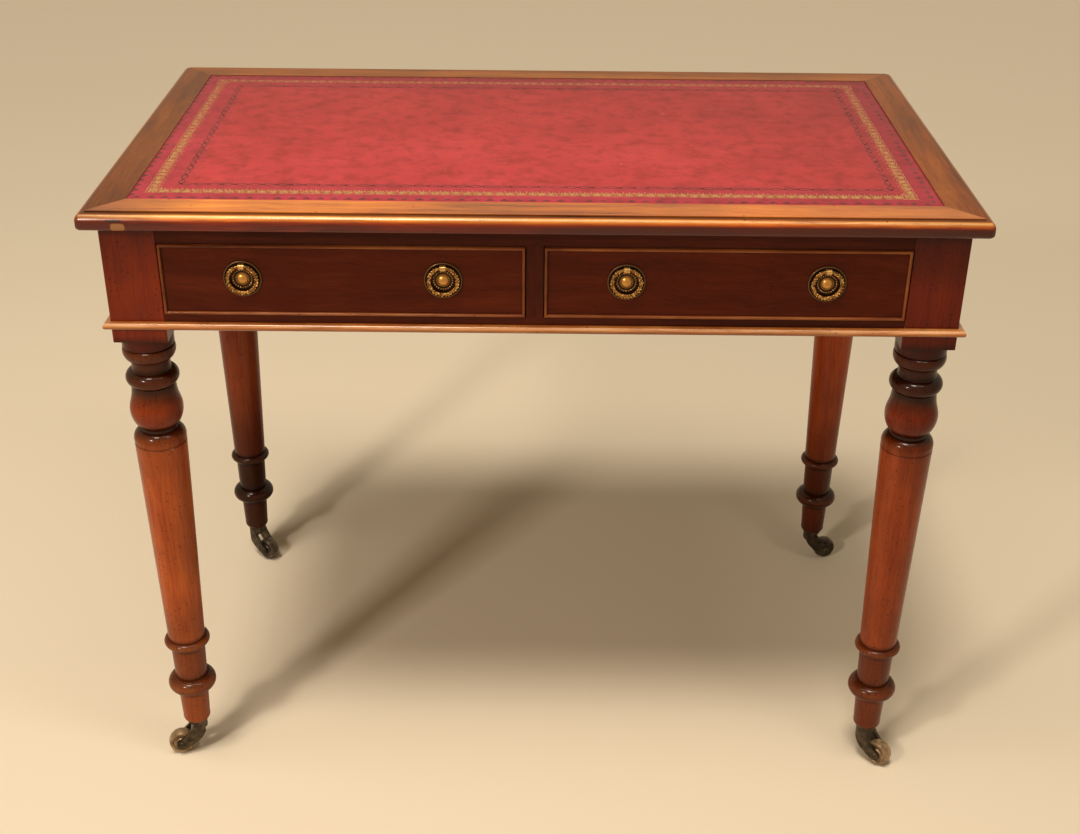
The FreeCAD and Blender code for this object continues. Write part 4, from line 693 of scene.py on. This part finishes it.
tree, given = newTree("stamped_border", {
    "Long": "Float", "Short": "Float", "Trim": "Float", "Pitch": "Float", "Level": "Float",
    "Finish": "Material",
})
rows = []
edges = (("Long", "Short", (0.0, math.pi)), ("Short", "Long", (math.pi / 2, -math.pi / 2)))
for length, across, turns in edges:
    run = addNode(tree, "ShaderNodeMath", {0: given["Trim"], 1: -2.0, 2: given[length]},
                  operation="MULTIPLY_ADD")
    count = addNode(tree, "ShaderNodeMath", {0: run, 1: given["Pitch"]}, operation="DIVIDE")
    count = addNode(tree, "ShaderNodeMath", {0: count}, operation="ROUND")
    cell = addNode(tree, "ShaderNodeMath", {0: run, 1: count}, operation="DIVIDE")
    reach = addNode(tree, "ShaderNodeMath", {0: run, 1: cell}, operation="SUBTRACT")
    edge = addNode(tree, "ShaderNodeMath", {0: given[across], 1: -0.5}, operation="MULTIPLY")
    ends = []
    for half in (-0.5, 0.5):
        x = addNode(tree, "ShaderNodeMath", {0: reach, 1: half}, operation="MULTIPLY")
        ends.append(addNode(tree, "ShaderNodeCombineXYZ", {0: x, 1: edge, 2: given["Level"]}))
    line = addNode(tree, "GeometryNodeMeshLine", {
        "Count": count, "Start Location": ends[0], "Offset": ends[1],
    }, mode="END_POINTS")
    stretch = addNode(tree, "ShaderNodeMath", {0: cell, 1: given["Pitch"]}, operation="DIVIDE")
    stretch = addNode(tree, "ShaderNodeCombineXYZ", {0: stretch, 1: 1.0, 2: 1.0})
    row = addNode(tree, "GeometryNodeInstanceOnPoints", {
        "Points": line, "Instance": given["Geometry"], "Scale": stretch,
    })
    for turn in turns:
        rows.append(addNode(tree, "GeometryNodeTransform", {"Geometry": row, "Rotation": (0.0, 0.0, turn)}))
endTree(tree, addNode(tree, "GeometryNodeJoinGeometry", {0: rows}), given["Finish"])
borderTree = tree


def stampFinish(name, spec):
    material, tree = newMaterial(name)
    place = addNode(tree, "ShaderNodeTexCoord").outputs["Object"]
    rub = addNode(tree, "ShaderNodeTexNoise", {
        "Vector": place, "Scale": 1 / (spec["wear"] * mm), "Detail": 4.0,
    })
    deep = addNode(tree, "ShaderNodeSeparateXYZ", {0: place}).outputs[1]
    front, back = spec["kept"]
    kept = addNode(tree, "ShaderNodeMapRange", {
        "Value": deep, 1: hideLow.y, 2: hideHigh.y, 3: front, 4: back,
    })
    rub = addNode(tree, "ShaderNodeMath", {0: rub, 1: kept}, operation="ADD")
    colour = addNode(tree, "ShaderNodeValToRGB", {0: rub}, list(zip(spec["at"], spec["tones"])))
    shader = addNode(tree, "ShaderNodeBsdfPrincipled", {
        "Base Color": colour, "Metallic": spec["metal"], "Roughness": spec["rough"],
    })
    addNode(tree, "ShaderNodeOutputMaterial", {"Surface": shader})
    return material


stamps = {  # wear: size of the rubbed places in millimetres; kept: how much is left, at front and back
    # gold leaf, worn: dull yellow with the red of the skin coming through
    "worn_gold_leaf": {
        "wear": 4.3, "kept": (0.03, -0.15), "at": (0.32, 0.44, 0.62),
        "tones": ("#AE5444", "#BA824E", "#D4A866"), "metal": 0.35, "rough": 0.42,
    },
    # blind stamps: leather scorched dark by the hot tool
    "blind_tooled_leather": {
        "wear": 17.0, "kept": (0.0, 0.0), "at": (0.35, 0.5, 0.65),
        "tones": ("#4E1C20", "#642428", "#8A3436"), "metal": 0.0, "rough": 0.5,
    },
}
stampMaterials = {name: stampFinish(name, spec) for name, spec in stamps.items()}

# the stamps themselves, in millimetres: a tooth, a spray of leaves between festoons, two crossing stems
toothMark = [(-5.2, 0.9), (-3.6, 2.9), (-1.4, 5.0), (0.7, 6.4), (1.6, 4.8), (2.9, 3.0), (5.3, 1.6),
             (1.9, 0.7), (-1.9, 0.6)]
sprayMark = [strip(festoon(start, start + 11.2, 0.8), 0.8) for start in (-17.0, -5.6, 5.8)]
for middleX, lean in ((-11.4, 5), (0.0, -5), (11.4, 5)):
    for angle, long in ((90, 12.0), (70, 10.6), (112, 10.6), (48, 8.6), (132, 8.6), (24, 6.0), (156, 6.0)):
        sprayMark.append(leaf(middleX, 0.8, long, 1.7, angle + lean))
for x in (-16.9, -5.7, 5.7):
    sprayMark.append(dot(x, 12.2, 0.9))
    sprayMark.append(leaf(x, 5.6, 4.6, 1.6, 90))
    sprayMark.append(strip([(x - 1.9, 1.0), (x - 0.7, 2.4), (x + 0.8, 2.2), (x + 2.0, 3.4)], 0.6))
vine = {"pitch": 29.0, "steps": 16, "swing": 3.0, "line": 1.5, "leaf": (4.6, 1.7), "lean": 24}
steps, halfPitch = vine["steps"], vine["pitch"] / 2
swing = [(i * vine["pitch"] / steps - halfPitch, math.sin(2 * math.pi * i / steps)) for i in range(steps + 1)]
vineMark = [strip([(x, vine["swing"] * y * way) for x, y in swing], vine["line"]) for way in (1, -1)]
vineMark += [leaf(x, 0.0, *vine["leaf"], vine["lean"] * way) for x in (-halfPitch, 0.0) for way in (1, -1)]

tooling = {"thick": 0.16, "bedded": 0.1}  # a stamp's thickness, and how much of it lies in the skin
borders = {  # shift: the rows were run by eye, a little off the skin's middle
    "leather_outer_stamps": {"mark": [toothMark], "inset": 3.2, "shift": -3.0, "trim": 2.0, "pitch": 14.7,
                             "finish": "blind_tooled_leather"},
    "leather_gilt_border": {"mark": sprayMark, "inset": 20.0, "shift": -4.0, "trim": 13.0, "pitch": 34.0,
                            "finish": "worn_gold_leaf"},
    "leather_inner_vine": {"mark": vineMark, "inset": 45.8, "shift": 0.4, "trim": -1.0,
                           "pitch": vine["pitch"], "finish": "blind_tooled_leather"},
}
for name, border in borders.items():
    inset = 2 * border["inset"] * mm
    piece = grown(name, stamped(name + "_stamp", border["mark"], tooling["thick"]), borderTree, {
        "Long": hideLong - inset, "Short": hideShort - inset, "Trim": border["trim"] * mm,
        "Pitch": border["pitch"] * mm, "Level": hideHigh.z - tooling["bedded"] * mm,
        "Finish": stampMaterials[border["finish"]],
    })
    for v in piece.data.vertices:
        v.co.x += border["shift"] * mm
        v.co.z -= hideDrop(v.co.x, v.co.y)
    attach(piece, "frame")
    print(name, len(piece.data.polygons), "faces")

# framed flowers close the gilt rows at the corners
flower = {
    "inset": 26.4, "shift": -4.0, "petals": 8, "long": (5.8, 7.6), "wide": 3.4, "frame": 7.4, "line": 1.2,
}
flowerMarks = []
for sx in (-1, 1):
    for sy in (-1, 1):
        cx = sx * (hideLong / 2 / mm - flower["inset"]) + flower["shift"]
        cy = sy * (hideShort / 2 / mm - flower["inset"])
        for k in range(flower["petals"]):
            turn = 360 / flower["petals"] * k
            flowerMarks.append(leaf(cx, cy, flower["long"][k % 2], flower["wide"], turn))
        square = ((-1, -1), (1, -1), (1, 1), (-1, 1), (-1, -1))
        frameLine = [(cx + flower["frame"] * u, cy + flower["frame"] * v) for u, v in square]
        flowerMarks += [strip(frameLine[k:k + 2], flower["line"]) for k in range(4)]
flowers = shown("leather_corner_flowers", stamped("leather_corner_flowers", flowerMarks, tooling["thick"]))
for v in flowers.data.vertices:
    v.co.z += hideHigh.z - tooling["bedded"] * mm - hideDrop(v.co.x, v.co.y)
flowers.data.materials.append(stampMaterials["worn_gold_leaf"])
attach(flowers, "frame")
print("tooling stamped")


# beads on the backplates
tree, given = newTree("beaded_circle", {
    "Count": "Int", "Ring": "Float", "Bead": "Float", "Finish": "Material",
})
circle = addNode(tree, "GeometryNodeMeshCircle", {"Vertices": given["Count"], "Radius": given["Ring"]})
upright = addNode(tree, "GeometryNodeTransform", {"Geometry": circle, "Rotation": (math.pi / 2, 0.0, 0.0)})
ball = addNode(tree, "GeometryNodeMeshUVSphere", {"Segments": 10, "Rings": 6, "Radius": given["Bead"]})
ring = addNode(tree, "GeometryNodeInstanceOnPoints", {"Points": upright, "Instance": ball})
rings = addNode(tree, "GeometryNodeInstanceOnPoints", {"Points": given["Geometry"], "Instance": ring})
endTree(tree, rings, given["Finish"])
for hand, sign in hands.items():
    seed = bpy.data.meshes.new("plate_middles")
    middles = [(sign * x * mm, pull["plateFront"] * mm, pull["height"] * mm) for x in pull["across"]]
    seed.from_pydata(middles, [], [])
    piece = grown("plate_beads_" + hand, seed, tree, {
        "Count": pull["beads"], "Ring": pull["beadCircle"] * mm, "Bead": pull["bead"] * mm,
        "Finish": metalMaterials["beads"],
    })
    piece.data.shade_smooth()
    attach(piece, "drawer_" + hand)

# two rows of leaves chased on each ring, parted at the top where the eyebolt holds it
tree, given = newTree("laurel_ring", {
    "Count": "Int", "Ring": "Float", "Open": "Float", "Slant": "Float", "Leaf": "Float",
    "Finish": "Material",
})
sweep = addNode(tree, "ShaderNodeMath", {0: given["Open"], 1: -2.0, 2: 2 * math.pi},
                operation="MULTIPLY_ADD")
step = addNode(tree, "ShaderNodeMath", {0: sweep, 1: given["Count"]}, operation="DIVIDE")
index = addNode(tree, "GeometryNodeInputIndex")
index = addNode(tree, "ShaderNodeMath", {0: index, 1: 0.5}, operation="ADD")
turned = addNode(tree, "ShaderNodeMath", {0: index, 1: step, 2: given["Open"]}, operation="MULTIPLY_ADD")
around = addNode(tree, "ShaderNodeMath", {0: turned, 1: math.pi / 2}, operation="ADD")
tangent = addNode(tree, "ShaderNodeMath", {0: around, 1: math.pi / 2}, operation="ADD")
blob = addNode(tree, "GeometryNodeMeshIcoSphere", {"Radius": given["Leaf"], "Subdivisions": 2})
blade = addNode(tree, "GeometryNodeTransform", {"Geometry": blob, "Scale": pull["blade"]})
rows = []
for way in (-1.0, 1.0):
    out = addNode(tree, "ShaderNodeMath", {
        0: given["Leaf"], 1: pull["rowApart"] * way, 2: given["Ring"],
    }, operation="MULTIPLY_ADD")
    spot = []
    for part in ("COSINE", "SINE"):
        share = addNode(tree, "ShaderNodeMath", {0: around}, operation=part)
        spot.append(addNode(tree, "ShaderNodeMath", {0: share, 1: out}, operation="MULTIPLY"))
    spot = addNode(tree, "ShaderNodeCombineXYZ", {0: spot[0], 2: spot[1]})
    points = addNode(tree, "GeometryNodePoints", {"Count": given["Count"], "Position": spot})
    lie = addNode(tree, "ShaderNodeMath", {0: given["Slant"], 1: way}, operation="MULTIPLY")
    lie = addNode(tree, "ShaderNodeMath", {0: lie, 1: tangent}, operation="SUBTRACT")
    lie = addNode(tree, "ShaderNodeCombineXYZ", {1: lie})
    rows.append(addNode(tree, "GeometryNodeInstanceOnPoints", {
        "Points": points, "Instance": blade, "Rotation": lie,
    }))
leaves = addNode(tree, "GeometryNodeJoinGeometry", {0: rows})
wreath = addNode(tree, "GeometryNodeInstanceOnPoints", {"Points": given["Geometry"], "Instance": leaves})
endTree(tree, wreath, given["Finish"])
for hand, sign in hands.items():
    for side, x in zip(sides, pull["across"]):
        seed = bpy.data.meshes.new("ring_middle")
        seed.from_pydata([(sign * x * mm, pull["ringFront"] * mm, pull["height"] * mm)], [], [])
        piece = grown("ring_laurel_%s_%s" % (hand, side), seed, tree, {
            "Count": pull["leaves"], "Ring": pull["leafCircle"] * mm, "Open": pull["open"],
            "Slant": pull["slant"], "Leaf": pull["leaf"] * mm, "Finish": metalMaterials["pull"],
        })
        piece.data.shade_smooth()
        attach(piece, "ring_%s_%s" % (hand, side))
print("handles chased")


# stage: a plain pale floor, matt so that it takes a soft shadow and mirrors nothing
stageLook = {"floor": "#F4E6CE", "matt": 0.85, "half": 9.0, "sky": "#D6C3A2", "fill": 0.22}
floorMesh = bpy.data.meshes.new("floor")
reach = stageLook["half"]
floorCorners = [(x * reach, y * reach, 0) for x, y in ((-1, -1), (1, -1), (1, 1), (-1, 1))]
floorMesh.from_pydata(floorCorners, [], [(0, 1, 2, 3)])
floor = shown("floor", floorMesh)
material, tree = newMaterial("pale_painted_floor")
shader = addNode(tree, "ShaderNodeBsdfPrincipled", {
    "Base Color": stageLook["floor"], "Roughness": stageLook["matt"],
})
addNode(tree, "ShaderNodeOutputMaterial", {"Surface": shader})
floorMesh.materials.append(material)

world = bpy.data.worlds.new("studio")
bpy.context.scene.world = world
world.use_nodes = True
tree = world.node_tree
tree.nodes.clear()
rays = addNode(tree, "ShaderNodeLightPath").outputs
seen = addNode(tree, "ShaderNodeMath", {0: rays["Is Camera Ray"], 1: rays["Is Glossy Ray"]},
               operation="MAXIMUM")
seen = addNode(tree, "ShaderNodeMath", {0: seen, 1: rays["Is Transmission Ray"]}, operation="MAXIMUM")
strength = addNode(tree, "ShaderNodeMapRange", {"Value": seen, 3: stageLook["fill"], 4: 1.0})
sky = addNode(tree, "ShaderNodeBackground", {"Color": stageLook["sky"], "Strength": strength})
addNode(tree, "ShaderNodeOutputWorld", {"Surface": sky})

lampLook = {"colour": "#FFF3E2", "aim": (0.0, 0.0, 0.45)}
lamps = {
    "overhead": {"kind": "SUN", "place": (-0.4, -0.75, 3.0), "angle": math.radians(14), "energy": 1.35},
    "window_left": {"kind": "AREA", "place": (-1.5, -1.9, 1.9), "size": 0.28, "energy": 24.0},
    "strip_light": {"kind": "AREA", "place": (-0.12, -0.5, 2.4), "shape": "RECTANGLE", "size": 2.5,
                    "size_y": 0.36, "energy": 17.5},
}
for name, lamp in lamps.items():
    light = bpy.data.lights.new(name, lamp["kind"])
    light.color = linear(lampLook["colour"])[:3]
    for key in lamp.keys() - {"kind", "place"}:
        setattr(light, key, lamp[key])
    holder = shown(name, light)
    holder.location = lamp["place"]
    facing = Vector(lampLook["aim"]) - Vector(lamp["place"])
    holder.rotation_euler = facing.to_track_quat("-Z", "Y").to_euler()
bpy.context.scene.view_settings.view_transform = "Standard"
print("stage set")
